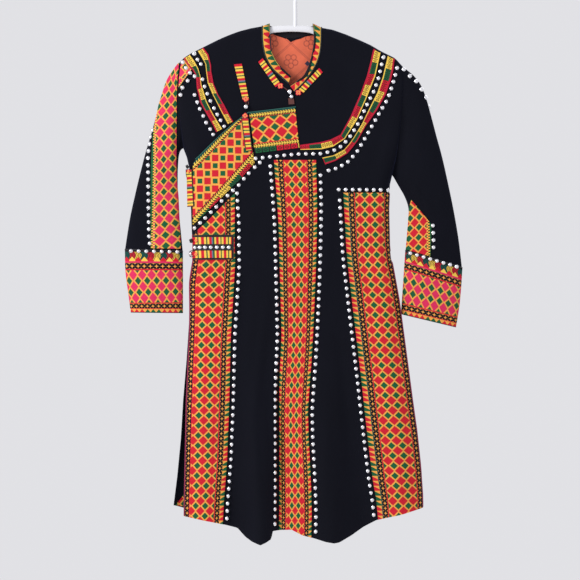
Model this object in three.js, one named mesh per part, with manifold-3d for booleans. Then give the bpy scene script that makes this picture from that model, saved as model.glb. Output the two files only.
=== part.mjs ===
// Wedding tunic of dark velveteen with brocade bands and stud rows, hung on a white moulded hanger.
// Lengths are in mm, +Z is up and the front faces -Y. The origin is the inside top of the hanger's hook.
// Tables are drafted on a square grid of columns (across) and rows (down), GRID mm to a step.
// "left" and "right" are the viewer's, facing the front.
import * as THREE from 'three';
import Module from 'manifold-3d';

const GRID = 2.1;
const CENTRE_COL = 292;
const COLLAR_TOP_ROW = 23;
const HOOK_RISE = 101;
const CLOTH = 2;
const BROCADE = 1.1;
const SEAM = 0.3;
const LAY = 0.6;
const WRAP = 0.5;
const RIDGE_ROWS = 4.5;
const STUD_PITCH = 7.3;
const STUD_HEIGHT = 3.6;
const STUD_HALF = 2.2;
const STUD_WAIST = 1.1;

const COLOUR = {
  velveteen: 0x17171f,
  brocade: 0xc23a44,
  ribbon: 0xd8a53c,
  stripe: 0xb5524a,
  lining: 0xd0724b,
  metal: 0xd9dadd,
  knot: 0x14141a,
  hanger: 0xf1f1ee,
};

// Small helpers

const lerp = (a, b, s) => a + (b - a) * s;
const clamp01 = (s) => Math.min(1, Math.max(0, s));
const smooth = (s) => clamp01(s) ** 2 * (3 - 2 * clamp01(s));
const quarter = (s) => Math.sqrt(Math.max(0, 1 - (1 - clamp01(s)) ** 2));
const gx = (col) => (col - CENTRE_COL) * GRID;
const gz = (row) => -HOOK_RISE - (row - COLLAR_TOP_ROW) * GRID;

// Value of a named column of a table at a place along another column
function read(table, key, at, by = 'row') {
  let i = 0;
  while (i < table.length - 2 && at > table[i + 1][by]) i += 1;
  const a = table[i];
  const b = table[i + 1];
  const s = clamp01((at - a[by]) / (b[by] - a[by]));
  return lerp(a[key], b[key], s);
}

function rows(names, values) {
  return values.map((line) => Object.fromEntries(names.map((name, i) => [name, line[i]])));
}

// Outline tables

const shoulderLine = rows(['col', 'row'], [
  [181, 60], [184, 57], [190, 53], [202, 47], [218, 40], [262, 25.5], [322, 27], [333, 30], [371, 45],
  [381, 51], [395.5, 57.5], [403, 66], [406, 69],
]);

const armholeLeft = rows(['col', 'row'], [
  [184, 57], [182.5, 59], [181, 63], [179.5, 75], [178.5, 90], [179, 105], [180, 120], [181.5, 135],
  [183, 148],
]);

const armholeRight = rows(['col', 'row'], [
  [403, 66], [403.2, 68.2], [403.2, 72.5], [403, 84], [402.3, 100], [401, 118], [399, 137],
  [396.5, 156], [392.5, 175],
]);

const neckLeft = rows(['col', 'row'], [
  [262, 25.5], [261.9, 27.2], [261.9, 31], [262.1, 40.8], [263.7, 51], [266.5, 59.5], [272.3, 68.9],
  [280, 76], [288.3, 83.5],
]);

const neckRight = rows(['col', 'row'], [
  [322, 27], [321.8, 28.7], [321.6, 32.5], [321.4, 41], [320.2, 53], [316.5, 64], [310, 75], [302, 85],
  [294.5, 92],
]);

const neckBack = rows(['col', 'row'], [
  [262, 25.5], [263.4, 27.3], [273.8, 33], [284.7, 36.3], [293.5, 37], [300, 36.3], [310, 33.5],
  [320.6, 28.7], [322, 27],
]);

const sideLeft = rows(['row', 'col'], [
  [148, 183], [157, 186.5], [168, 189], [182, 190], [205, 190.5], [230, 191.3], [259, 193],
]);

const frontEdgeLeft = rows(['row', 'col'], [
  [163, 193.2], [182, 193.6], [205, 193.4], [230, 194], [259, 194.8], [272, 192.6], [283, 190.8],
  [338, 189.5], [400, 186.7], [515, 184.3],
]);

const frontEdgeRight = rows(['row', 'col'], [
  [175, 392.5], [184, 390.3], [194, 389.4], [206, 388.9], [214, 388.8], [230, 389.3], [257, 389.9],
  [264, 392.2], [282, 395.5], [300, 398.8], [400, 412.1], [432, 416.4], [470, 420.2], [507, 422.4],
]);

const backEdgeLeft = rows(['row', 'col'], [
  [259, 193], [300, 190], [350, 187], [400, 182.7], [456, 179.4], [492, 175.3], [510, 173],
]);

const backEdgeRight = rows(['row', 'col'], [
  [259, 389.9], [282, 392], [300, 394.5], [350, 402], [400, 408.5], [470, 417], [510, 419.5],
]);

const frontHem = rows(['col', 'row'], [
  [184, 515.3], [225.3, 524], [237.5, 527.5], [245.7, 536.2], [251.8, 540.3], [260.5, 543.7],
  [267.1, 539.8], [276, 532], [291.7, 529.5], [302.5, 534.5], [313.4, 537.2], [325.3, 540.5],
  [334, 541.9], [339.4, 541], [351.3, 534.5], [363.3, 526.4], [376.3, 519.3], [400, 513.9],
  [423, 507.4],
]);

const backHem = rows(['col', 'row'], [
  [172, 506], [184.5, 509.7], [220, 515], [255, 521], [292, 523], [330, 521], [365, 515], [395, 509],
  [420, 503],
]);

// Depth tables: how far the outer face stands off the plane of the hanger at the edges and in the middle

const frontDepth = rows(['row', 'left', 'mid', 'right', 'close'], [
  [25, 9, 9, 9, 15], [60, 9, 13, 9, 15], [75, 12, 16, 11, 15], [100, 15, 21, 14, 15],
  [120, 14, 24, 16, 15], [135, 10, 26, 16, 15], [148, 0, 27, 14, 15], [163, 0, 28, 9, 15],
  [175, 0, 28, 0, 15], [259, 0, 30, 0, 15], [285, 4, 30, 4, 18], [350, 6, 31, 6, 24],
  [545, 10, 33, 10, 26],
]);

const backDepth = rows(['row', 'left', 'mid', 'right', 'close'], [
  [25, 9, 9, 9, 15], [60, 9, 11, 9, 15], [75, 11, 12, 10, 15], [100, 13, 14, 12, 15],
  [120, 12, 15, 14, 15], [135, 9, 16, 13, 15], [148, 0, 17, 11, 15], [163, 0, 18, 7, 15],
  [175, 0, 18, 0, 15], [259, 0, 20, 0, 15], [285, 4, 20, 4, 18], [350, 6, 22, 6, 24],
  [545, 9, 24, 9, 26],
]);

// Folds: a ridge (plus) or trough (minus) that grows from its top to its foot
const foldNames = ['topCol', 'topRow', 'footCol', 'half', 'rise'];

const frontFolds = rows(foldNames, [
  [250, 290, 262, 17, 17], [292, 350, 286, 20, -10], [322, 290, 331, 22, 15], [345, 330, 366, 18, -9],
  [228, 340, 236, 15, -9], [206, 320, 205, 16, 5], [392, 320, 400, 18, 6],
]);

const backFolds = rows(foldNames, [
  [225, 280, 220, 20, 12], [262, 300, 258, 18, -8], [296, 270, 298, 22, 14], [334, 300, 340, 18, -8],
  [368, 280, 378, 20, 12],
]);

const HEM_ROW = 540;

function foldRise(folds, col, row) {
  let rise = 0;
  for (const fold of folds) {
    const s = (row - fold.topRow) / (HEM_ROW - fold.topRow);
    const off = (col - lerp(fold.topCol, fold.footCol, s)) / fold.half;
    const across = Math.abs(off) < 1 ? Math.cos((Math.PI / 2) * off) ** 2 : 0;
    rise += fold.rise * smooth(s) * across;
  }
  return rise;
}

function edgeAt(armhole, side, lower, row) {
  if (row <= armhole[armhole.length - 1].row) return read(armhole, 'col', row);
  if (row <= side[side.length - 1].row) return read(side, 'col', row);
  return read(lower, 'col', row);
}

const seamLeft = (row) => edgeAt(armholeLeft, sideLeft, backEdgeLeft, row);
const seamRight = (row) => edgeAt(armholeRight, frontEdgeRight, frontEdgeRight, row);
const backLeft = (row) => edgeAt(armholeLeft, sideLeft, backEdgeLeft, row);
const backRight = (row) => edgeAt(armholeRight, frontEdgeRight.slice(0, 7), backEdgeRight, row);

function depthAt(face, col, row) {
  const drop = row - read(shoulderLine, 'row', col, 'col');
  const fromLeft = col - face.left(row);
  const fromRight = face.right(row) - col;
  const close = read(face.depth, 'close', row);
  const mid = read(face.depth, 'mid', row);
  const side = fromLeft < fromRight ? 'left' : 'right';
  const edge = read(face.depth, side, row);
  const body = edge + (mid - edge) * quarter(Math.min(fromLeft, fromRight) / close);
  return WRAP * SEAM + quarter(drop / RIDGE_ROWS) * (body + foldRise(face.folds, col, row));
}

const front = { left: seamLeft, right: seamRight, depth: frontDepth, folds: frontFolds, sign: -1 };
const back = { left: backLeft, right: backRight, depth: backDepth, folds: backFolds, sign: 1 };

// Normal of a face's surface, from its slope over a short way
function normalAt(face, col, row) {
  const way = 0.6;
  const across = (depthAt(face, col + way, row) - depthAt(face, col - way, row)) / (2 * way * GRID);
  const down = (depthAt(face, col, row + way) - depthAt(face, col, row - way)) / (2 * way * GRID);
  return new THREE.Vector3(-across, face.sign, down).normalize();
}

function point(face, col, row) {
  return new THREE.Vector3(gx(col), face.sign * depthAt(face, col, row), gz(row));
}

// Flattens the normals at an edge along one axis, so that facing edges stay apart
function flatten(normal, axis) {
  normal[axis] = 0;
  if (normal.length() < 0.05) normal.set(0, 0, 1);
  return normal.normalize();
}

// Walls. A grid holds points, normals and drafting places; rows run down and columns across

function makeGrid(face, places, lift, trim) {
  const grid = { p: [], n: [], g: [] };
  places.forEach((line, r) => {
    const last = line.length - 1;
    grid.g.push(line);
    grid.n.push(line.map(([col, row], c) => trim(normalAt(face, col, row), r, c, last, col, row)));
    grid.p.push(line.map(([col, row], c) => {
      return point(face, col, row).addScaledVector(grid.n[r][c], lift(col, row));
    }));
  });
  return grid;
}

function meshOf(name, positions, faces, colour, roughness, metalness = 0) {
  const geometry = new THREE.BufferGeometry();
  let volume = 0;
  for (const [a, b, c] of faces) {
    const cross = new THREE.Vector3().crossVectors(positions[b], positions[c]);
    volume += positions[a].dot(cross);
  }
  const turned = volume < 0 ? faces.map(([a, b, c]) => [a, c, b]) : faces;
  const numbers = positions.flatMap((v) => [v.x, v.y, v.z]);
  geometry.setAttribute('position', new THREE.Float32BufferAttribute(numbers, 3));
  geometry.setIndex(turned.flat());
  geometry.computeVertexNormals();
  const material = new THREE.MeshStandardMaterial({ color: colour, roughness, metalness });
  const mesh = new THREE.Mesh(geometry, material);
  mesh.name = name;
  return mesh;
}

// A wall of even thickness behind the points of a grid, open (a sheet) or closed across (a tube)
function wall(name, grid, thickness, colour, roughness, closed = false) {
  const down = grid.p.length;
  const wide = grid.p[0].length;
  const outer = grid.p.flat();
  const moved = (v, r, c) => v.clone().addScaledVector(grid.n[r][c], -thickness);
  const inner = grid.p.flatMap((line, r) => line.map((v, c) => moved(v, r, c)));
  const positions = [...outer, ...inner];
  const at = (r, c) => r * wide + (c % wide);
  const under = (r, c) => outer.length + at(r, c);
  const faces = [];
  const quad = (a, b, c, d) => faces.push([a, b, c], [a, c, d]);
  const cells = closed ? wide : wide - 1;
  for (let r = 0; r < down - 1; r += 1) {
    for (let c = 0; c < cells; c += 1) {
      quad(at(r, c), at(r + 1, c), at(r + 1, c + 1), at(r, c + 1));
      quad(under(r, c), under(r, c + 1), under(r + 1, c + 1), under(r + 1, c));
      if (c === 0 && !closed) quad(at(r, c), under(r, c), under(r + 1, c), at(r + 1, c));
      const d = c + 1;
      if (d === cells && !closed) quad(at(r, d), at(r + 1, d), under(r + 1, d), under(r, d));
    }
  }
  for (let c = 0; c < cells; c += 1) {
    quad(at(0, c), at(0, c + 1), under(0, c + 1), under(0, c));
    quad(at(down - 1, c), under(down - 1, c), under(down - 1, c + 1), at(down - 1, c + 1));
  }
  return meshOf(name, positions, faces, colour, roughness);
}

// Place on a grid's own triangles at a drafting column and row
function onGrid(grid, col, row) {
  let best = null;
  const wide = grid.p[0].length;
  const wrap = grid.closed ? 0 : 1;
  for (let r = 0; r < grid.p.length - 1; r += 1) {
    for (let c = 0; c < wide - wrap; c += 1) {
      const d = (c + 1) % wide;
      const corners = [[r, c], [r + 1, c], [r + 1, d], [r, d]];
      for (const [i, j, k] of [[0, 1, 2], [0, 2, 3]]) {
        const picked = [corners[i], corners[j], corners[k]];
        const [a, b, e] = picked.map(([rr, cc]) => ({ rr, cc, g: grid.g[rr][cc] }));
        const area = (b.g[0] - a.g[0]) * (e.g[1] - a.g[1]) - (e.g[0] - a.g[0]) * (b.g[1] - a.g[1]);
        if (Math.abs(area) < 1e-6) continue;
        const wb = ((col - a.g[0]) * (e.g[1] - a.g[1]) - (e.g[0] - a.g[0]) * (row - a.g[1])) / area;
        const we = ((b.g[0] - a.g[0]) * (row - a.g[1]) - (col - a.g[0]) * (b.g[1] - a.g[1])) / area;
        const least = Math.min(wb, we, 1 - wb - we);
        if (!best || least > best.least) best = { least, parts: [[a, 1 - wb - we], [b, wb], [e, we]] };
      }
      if (best && best.least >= 0) break;
    }
    if (best && best.least >= 0) break;
  }
  const p = new THREE.Vector3();
  const n = new THREE.Vector3();
  for (const [corner, weight] of best.parts) {
    p.addScaledVector(grid.p[corner.rr][corner.cc], weight);
    n.addScaledVector(grid.n[corner.rr][corner.cc], weight);
  }
  return { p, n: n.normalize() };
}

// A grid laid on another one, moved out by a lift
function layGrid(base, places, lift) {
  const grid = { p: [], n: [], g: places };
  for (const line of places) {
    const found = line.map(([col, row]) => onGrid(base, col, row));
    grid.n.push(found.map((f) => f.n));
    grid.p.push(found.map((f) => f.p.addScaledVector(f.n, lift)));
  }
  return grid;
}

const BROCADE_TOP = LAY + BROCADE;

function applique(name, base, places, colour, lift = BROCADE_TOP, thickness = BROCADE) {
  return wall(name, layGrid(base, places, lift), thickness, colour, 0.55);
}

// Even places along a path, a step apart
function evenly(path, pitch) {
  const lengths = [0];
  for (let i = 1; i < path.length; i += 1) {
    lengths.push(lengths[i - 1] + Math.hypot(path[i].col - path[i - 1].col, path[i].row - path[i - 1].row));
  }
  const whole = lengths[lengths.length - 1];
  const count = Math.max(1, Math.round(whole / pitch));
  const table = path.map((p, i) => ({ ...p, along: lengths[i] }));
  return Array.from({ length: 2 * count + 1 }, (_, k) => {
    const along = (whole * k) / (2 * count);
    const col = read(table, 'col', along, 'along');
    const row = read(table, 'row', along, 'along');
    return { col, row, peak: k % 2 === 1 };
  });
}

// A row of studs: one closed chain of low pyramids on a path
function studRow(name, base, path, lift = LAY) {
  const stations = evenly(path, STUD_PITCH);
  const positions = [];
  const faces = [];
  stations.forEach((here, i) => {
    const before = stations[Math.max(0, i - 1)];
    const after = stations[Math.min(stations.length - 1, i + 1)];
    const dx = after.col - before.col;
    const dy = after.row - before.row;
    const size = Math.hypot(dx, dy);
    const half = here.peak ? STUD_HALF : STUD_WAIST;
    const off = { col: (dy / size) * half, row: (dx / size) * half };
    const sides = [1, -1].map((s) => onGrid(base, here.col + off.col * s, here.row - off.row * s));
    const top = onGrid(base, here.col, here.row);
    const rise = here.peak ? STUD_HEIGHT : 1;
    positions.push(...sides.map((f) => f.p.addScaledVector(f.n, lift)));
    positions.push(top.p.addScaledVector(top.n, lift + rise));
    if (i > 0) {
      const b = 3 * i;
      const a = b - 3;
      for (const [k, m] of [[0, 1], [1, 2], [2, 0]]) faces.push([a + k, b + k, b + m], [a + k, b + m, a + m]);
    }
  });
  const end = positions.length - 3;
  faces.push([0, 1, 2], [end, end + 2, end + 1]);
  return meshOf(name, positions, faces, COLOUR.metal, 0.3, 0.9);
}

const group = new THREE.Group();
group.name = 'wedding_tunic_on_hanger';

// Front under-layer: shoulder, neck and armhole of the left side, running on under the over-layer

const CLOSING_STEPS = [0, 4, 9, 17];
const BOW_ROWS = 7;

function underPlaces() {
  const hidden = rows(['lc', 'lr', 'rc', 'rr'], [
    [186.5, 157, 301, 96], [189, 168, 303, 112], [190, 182, 300, 135], [190.5, 205, 285, 168],
    [191.3, 230, 262, 205], [193, 259, 246, 259],
  ]);
  const top = armholeLeft.map((a, i) => ({ lc: a.col, lr: a.row, rc: neckLeft[i].col, rr: neckLeft[i].row }));
  const shares = [0, 0.3, 0.6, 0.85, 1];
  return [...top, ...hidden].map((line, i) => {
    const wide = line.rc - line.lc;
    const near = CLOSING_STEPS.map((s) => s / wide);
    const rest = shares.slice(1).map((s) => lerp(near[3], 1, s));
    return [...near, ...rest].map((s) => {
      const col = lerp(line.lc, line.rc, s);
      const bow = read(shoulderLine, 'row', lerp(184, 262, s), 'col') - lerp(57, 25.5, s);
      return [col, lerp(line.lr, line.rr, s) + bow * (1 - smooth(i / BOW_ROWS))];
    });
  });
}

const underRows = armholeLeft.length;

function trimUnder(n, r, c, last) {
  if (r === 0) flatten(n, 'y');
  if (c === 0 && r < underRows - 1) flatten(n, 'x');
  if (c === 0 && r >= underRows - 1) flatten(n, 'y');
  if (c === last && r > 0 && r < underRows) flatten(n, 'x');
  return n;
}

const underLift = (col, row) => -1.6 * smooth((row - 160) / 60);
const underGrid = makeGrid(front, underPlaces(), underLift, trimUnder);
group.add(wall('front_under', underGrid, CLOTH, COLOUR.velveteen, 0.85));

// Front over-layer: right shoulder, then across to the left edge and down to the hem

const bandStops = rows(['row', 'bandL', 'ctrL', 'ctrR', 'bandR'], [
  [163, 236, 270, 320, 338.5], [200, 237.5, 273, 321, 339.4], [225, 239.2, 274.6, 321, 341],
  [245, 239, 275.2, 320.5, 341.9], [265, 239.5, 275.7, 320, 343.5], [285, 238.2, 276.2, 319.2, 346],
  [310, 236.7, 276.9, 318.2, 348.8], [335, 235.1, 277.5, 317, 351.8], [360, 234.4, 276.5, 315.6, 354.8],
  [385, 233.9, 275.4, 313.7, 357.7], [410, 233.2, 275, 312, 360.4], [435, 232.1, 275, 312.6, 363.3],
  [460, 231.1, 275, 314.1, 366.3], [480, 229.5, 275, 315.2, 368.7], [500, 227.9, 274.9, 315.8, 372],
  [540, 226, 274.5, 315, 375.5],
]);

const STRIP = 4;
const SEAM_END_ROW = 262;
const RIGHT_BAND_FIRST = 17;

function stops(row, left, right) {
  const bandL = read(bandStops, 'bandL', row);
  const ctrL = read(bandStops, 'ctrL', row);
  const ctrR = read(bandStops, 'ctrR', row);
  const bandR = read(bandStops, 'bandR', row);
  const split = (a, b, parts) => Array.from({ length: parts - 1 }, (_, i) => lerp(a, b, (i + 1) / parts));
  const seam = row < SEAM_END_ROW ? seamLeft(row) : left;
  return [
    left, seam + 9, seam + 17, bandL - STRIP, bandL + STRIP,
    ...split(bandL + STRIP, ctrL - STRIP, 4), ctrL - STRIP, ctrL + STRIP,
    ...split(ctrL + STRIP, ctrR - STRIP, 2), ctrR - STRIP, ctrR + STRIP,
    ...split(ctrR + STRIP, bandR - STRIP, 3), bandR - STRIP, bandR + STRIP,
    right - 17, right - 9, right - 4, right,
  ];
}

const MAIN_COLS = stops(300, 190, 399).length;
const BAND_R_INDEX = MAIN_COLS - 6;

function hemShift(hem, col, row, flat) {
  return (read(hem, 'row', col, 'col') - flat) * clamp01((row - 400) / (flat - 400)) ** 1.5;
}

const mainSlant = rows(['lc', 'lr', 'rc', 'rr'], [
  [296, 107, 390.3, 184], [248, 113, 389.4, 194], [230, 127, 389, 202], [212, 144, 388.8, 207],
  [206, 150.2, 388.8, 209.5], [200, 156.4, 388.8, 212], [196.4, 160, 388.8, 214],
  [193.2, 163, 388.8, 216], [193.6, 182, 389, 224], [193.4, 203, 389.3, 232], [193.9, 224, 389.6, 240],
]);
const MAIN_FLAT_ROWS = [245, 262, 285, 310, 335, 360, 385, 410, 435, 460, 480, 500, 522];
const MAIN_HEM = 522;
const DIAGONAL_FOOT = 195;

function mainPlaces() {
  const even = (a, b) => Array.from({ length: MAIN_COLS }, (_, k) => lerp(a, b, k / (MAIN_COLS - 1)));
  const top = neckRight.map((n, i) => {
    const arm = armholeRight[i];
    const near = [17, 9, 4, 0].map((s) => arm.col - s);
    const far = Array.from({ length: MAIN_COLS - 4 }, (_, k) => lerp(n.col, near[0], k / (MAIN_COLS - 4)));
    return [...far, ...near].map((col) => {
      const s = (col - n.col) / (arm.col - n.col);
      const bow = read(shoulderLine, 'row', lerp(322, 403, s), 'col') - lerp(27, 66, s);
      return [col, lerp(n.row, arm.row, s) + bow * (1 - smooth(i / BOW_ROWS))];
    });
  });
  const slant = mainSlant.map((line) => {
    const rowAt = (col) => lerp(line.lr, line.rr, clamp01((col - line.lc) / (line.rc - line.lc)));
    const exact = stops(0, line.lc, line.rc).map((_, k) => {
      let col = even(line.lc, line.rc)[k];
      for (let turn = 0; turn < 6; turn += 1) col = stops(rowAt(col), line.lc, line.rc)[k];
      return col;
    });
    if (line.lc > DIAGONAL_FOOT) {
      const first = exact[BAND_R_INDEX];
      for (let k = 0; k < BAND_R_INDEX; k += 1) exact[k] = lerp(line.lc, first, k / BAND_R_INDEX);
    }
    return exact.map((col) => [col, rowAt(col)]);
  });
  const flat = MAIN_FLAT_ROWS.map((row) => {
    const line = stops(row, read(frontEdgeLeft, 'col', row), read(frontEdgeRight, 'col', row));
    return line.map((col) => [col, row + hemShift(frontHem, col, row, MAIN_HEM)]);
  });
  return [...top, ...slant, ...flat];
}

const OVER_LIFT = CLOTH + 2 * LAY;
const overLift = (col, row) => {
  const side = 1 - smooth((col - 318) / 34);
  const above = smooth((row - 50) / 38);
  const below = 1 - smooth((row - 262) / 60);
  return OVER_LIFT * side * above * below;
};

const topRows = armholeRight.length;

function trimMain(n, r, c, last, col, row) {
  if (r === 0) flatten(n, 'y');
  if (c === last && r < topRows - 1) flatten(n, 'x');
  if (c === last && r >= topRows - 1 && row < SEAM_END_ROW + 1) flatten(n, 'y');
  if (c === 0 && r > 0 && r < topRows) flatten(n, 'x');
  return n;
}

const mainGrid = makeGrid(front, mainPlaces(), overLift, trimMain);
group.add(wall('front_main', mainGrid, CLOTH, COLOUR.velveteen, 0.85));

// Back: one panel, with the neck dip at its top and free edges below the side seams

const backShares = [
  0, 0.02, 0.045, 0.085, 0.16, 0.26, 0.356, 0.3626, 0.41, 0.46, 0.5, 0.54, 0.585, 0.6237, 0.63, 0.72,
  0.82, 0.9, 0.95, 0.98, 1,
];
const backSeams = rows(['lc', 'lr', 'rc', 'rr'], [
  [186.5, 157, 390.3, 184], [189, 168, 389.4, 194], [190, 182, 388.9, 206], [190.5, 205, 388.8, 220],
  [191.5, 232, 389.5, 240],
]);
const BACK_FLAT_ROWS = [259, 285, 320, 360, 400, 440, 480, 512];
const BACK_HEM = 512;

function backTop(col) {
  const inNeck = col > neckBack[0].col && col < neckBack[neckBack.length - 1].col;
  return inNeck ? read(neckBack, 'row', col, 'col') : read(shoulderLine, 'row', col, 'col');
}

function backPlaces() {
  const top = armholeLeft.map((a, i) => {
    const b = armholeRight[i];
    return { lc: a.col, lr: a.row, rc: b.col, rr: b.row };
  });
  const slanted = [...top, ...backSeams].map((line, i) => backShares.map((s) => {
    const col = lerp(line.lc, line.rc, s);
    const edge = lerp(line.lr, line.rr, s);
    const crown = backTop(col) - lerp(57, 66, s);
    const fall = 1 - smooth(i / (top.length + 1));
    return [col, edge + crown * fall];
  }));
  const flat = BACK_FLAT_ROWS.map((row) => {
    const [a, b] = [backLeft(row), backRight(row)];
    return backShares.map((s) => {
      const col = lerp(a, b, s);
      return [col, row + hemShift(backHem, col, row, BACK_HEM)];
    });
  });
  return [...slanted, ...flat];
}

function trimBack(n, r, c, last, col, row) {
  const side = c === 0 || c === last;
  const inNeck = col > neckBack[0].col && col < neckBack[neckBack.length - 1].col;
  if (r === 0 && !inNeck) flatten(n, 'y');
  if (side && r < topRows - 1) flatten(n, 'x');
  if (side && r >= topRows - 1 && row < SEAM_END_ROW) flatten(n, 'y');
  return n;
}

const backGrid = makeGrid(back, backPlaces(), () => 0, trimBack);
group.add(wall('back', backGrid, CLOTH, COLOUR.velveteen, 0.85));

// Neck lining: inside the back, as far as the neck opening shows it

const liningRows = rows(['row', 'from', 'to'], [
  [38.6, 274, 310], [44, 266, 318], [52, 265, 320], [62, 264, 320], [74, 264, 319], [86, 266, 317],
]);
const QUARTERS = [0, 0.25, 0.5, 0.75, 1];
const liningPlaces = liningRows.map((line) => QUARTERS.map((s) => [lerp(line.from, line.to, s), line.row]));
const LINING = 1.1;
group.add(applique('neck_lining', backGrid, liningPlaces, COLOUR.lining, -(CLOTH + LAY), LINING));

// Collar: a standing band that follows the neck seam round from one front end to the other

const collarUpper = rows(['col', 'row', 'depth'], [
  [290.8, 76.5, -4], [285.5, 71.8, -4], [278.5, 64.5, -3], [273.5, 56, -2], [271, 49, -1.5],
  [270.2, 40, -1], [269.6, 30, 0], [269.3, 25.6, 0], [269.2, 22.6, 0], [269.8, 24.6, 0], [274, 26, 0],
  [283, 27.5, 0], [292.5, 28, 0], [301, 27.5, 0], [309, 26, 0], [313, 24.8, 0], [313.2, 22.8, 0],
  [313.5, 26, 0], [313.9, 31, 0], [314.3, 41, -1], [312.6, 53, -1.5], [309.5, 64.5, -2],
  [304.5, 75.5, -3], [297.5, 81.5, -1], [290.4, 86.4, 0],
]);
const NECK_GAP = 0.45;

function collarGrid() {
  const leftSide = [...neckLeft].reverse().map((p) => ({ ...p, face: front, into: 1 }));
  const rear = neckBack.slice(1, -1).map((p) => ({ ...p, face: back, into: 0 }));
  const rightSide = neckRight.map((p) => ({ ...p, face: front, into: -1 }));
  const lower = [...leftSide, ...rear, ...rightSide];
  const grid = { p: [[], [], []], n: [[], [], []], g: [[], [], []] };
  lower.forEach((low, i) => {
    const high = collarUpper[i];
    const ridge = i === neckLeft.length - 1 || i === lower.length - neckRight.length;
    const over = low.into < 0 ? overLift(low.col, low.row) : 0;
    const base = ridge ? 0 : depthAt(low.face, low.col, low.row) + over;
    const top = ridge ? 0 : Math.max(base + high.depth, 6);
    for (const [r, s] of [[0, 0], [1, 0.5], [2, 1 - NECK_GAP / 8]]) {
      const col = lerp(high.col, low.col, s);
      const row = lerp(high.row, low.row, s);
      const swell = 1.2 * Math.sin(Math.PI * s);
      const depth = ridge ? 0 : lerp(top, base, s) + swell;
      grid.g[r].push([col, row]);
      grid.p[r].push(new THREE.Vector3(gx(col), low.face.sign * depth, gz(row)));
    }
  });
  return grid;
}

// Normals of a grid that has points only, turned away from a middle place
const middleOf = (line) => {
  const sum = line.reduce((all, v) => all.add(v), new THREE.Vector3());
  return sum.divideScalar(line.length);
};

function meshNormals(grid, away, closed = false) {
  const down = grid.p.length;
  const wide = grid.p[0].length;
  for (let r = 0; r < down; r += 1) {
    grid.n[r] = [];
    for (let c = 0; c < wide; c += 1) {
      const west = closed ? (c + wide - 1) % wide : Math.max(0, c - 1);
      const east = closed ? (c + 1) % wide : Math.min(wide - 1, c + 1);
      const across = new THREE.Vector3().subVectors(grid.p[r][east], grid.p[r][west]);
      const below = grid.p[Math.min(down - 1, r + 1)][c];
      const along = new THREE.Vector3().subVectors(below, grid.p[Math.max(0, r - 1)][c]);
      const normal = new THREE.Vector3().crossVectors(across, along).normalize();
      if (normal.dot(away(r, c)) < 0) normal.negate();
      grid.n[r].push(normal);
    }
  }
  return grid;
}

const neckMiddle = new THREE.Vector3(0, 0, gz(60));
const collar = collarGrid();
meshNormals(collar, (r, c) => new THREE.Vector3().subVectors(collar.p[r][c], neckMiddle));
group.add(wall('collar', collar, 1.8, COLOUR.brocade, 0.55));

// Sleeves: rings from the armhole to the wrist, each named by its outer and inner end and its depths

const sleeveNames = ['outerCol', 'outerRow', 'innerCol', 'innerRow', 'front', 'back', 'share'];

const sleeveLeft = rows(sleeveNames, [
  [184, 57, 183, 148, 0, 0, 0.31], [180, 61, 181.4, 148.8, 15, 14, 0.31],
  [173.5, 69.5, 179.6, 151.5, 16, 15, 0.31], [167, 80, 178.4, 156.5, 17, 16, 0.31],
  [161.8, 95, 177.8, 164, 18, 16, 0.28], [157, 111, 177.4, 173, 18, 17, 0.24],
  [151.5, 131, 177.4, 183, 18, 17, 0.22], [145.5, 151, 177.5, 194, 18, 17, 0.22],
  [140, 172, 178.3, 206, 17, 16, 0.31], [134.5, 195, 179.3, 219, 16, 15, 0.386],
  [129.3, 219, 180.8, 234, 15, 14, 0.437], [124.6, 249, 182.4, 250.6, 14, 13, 0.47],
]);

const sleeveRight = rows(sleeveNames, [
  [403, 66, 392.5, 175, 0, 0, 0.31], [407.5, 69.5, 394.3, 177.6, 15, 14, 0.31],
  [414.5, 75.5, 396.8, 182, 17, 15, 0.31], [421.5, 85, 400, 187.5, 18, 16, 0.31],
  [427, 99, 403.5, 193.5, 19, 17, 0.31], [432, 117, 406.5, 200, 19, 17, 0.34],
  [437, 136, 408.6, 207, 19, 17, 0.38], [442.7, 157, 409.2, 215, 18, 16, 0.42],
  [449, 185, 409, 224, 17, 15, 0.475], [454.7, 213, 408.2, 232, 16, 15, 0.53],
  [459.2, 240, 407.2, 241, 15, 14, 0.56], [462.4, 267.4, 405.8, 250, 14, 13, 0.572],
]);

const RING_HALF = 8;
const TRIM_STEP = 3;

// Share of the way across a ring at a step, with the trim's edge always on the same step
function shareAt(step, trimShare) {
  const even = (k) => (1 - Math.cos((Math.PI * k) / RING_HALF)) / 2;
  const pivot = even(TRIM_STEP);
  if (step <= TRIM_STEP) return (even(step) / pivot) * trimShare;
  return trimShare + ((even(step) - pivot) / (1 - pivot)) * (1 - trimShare);
}

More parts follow.
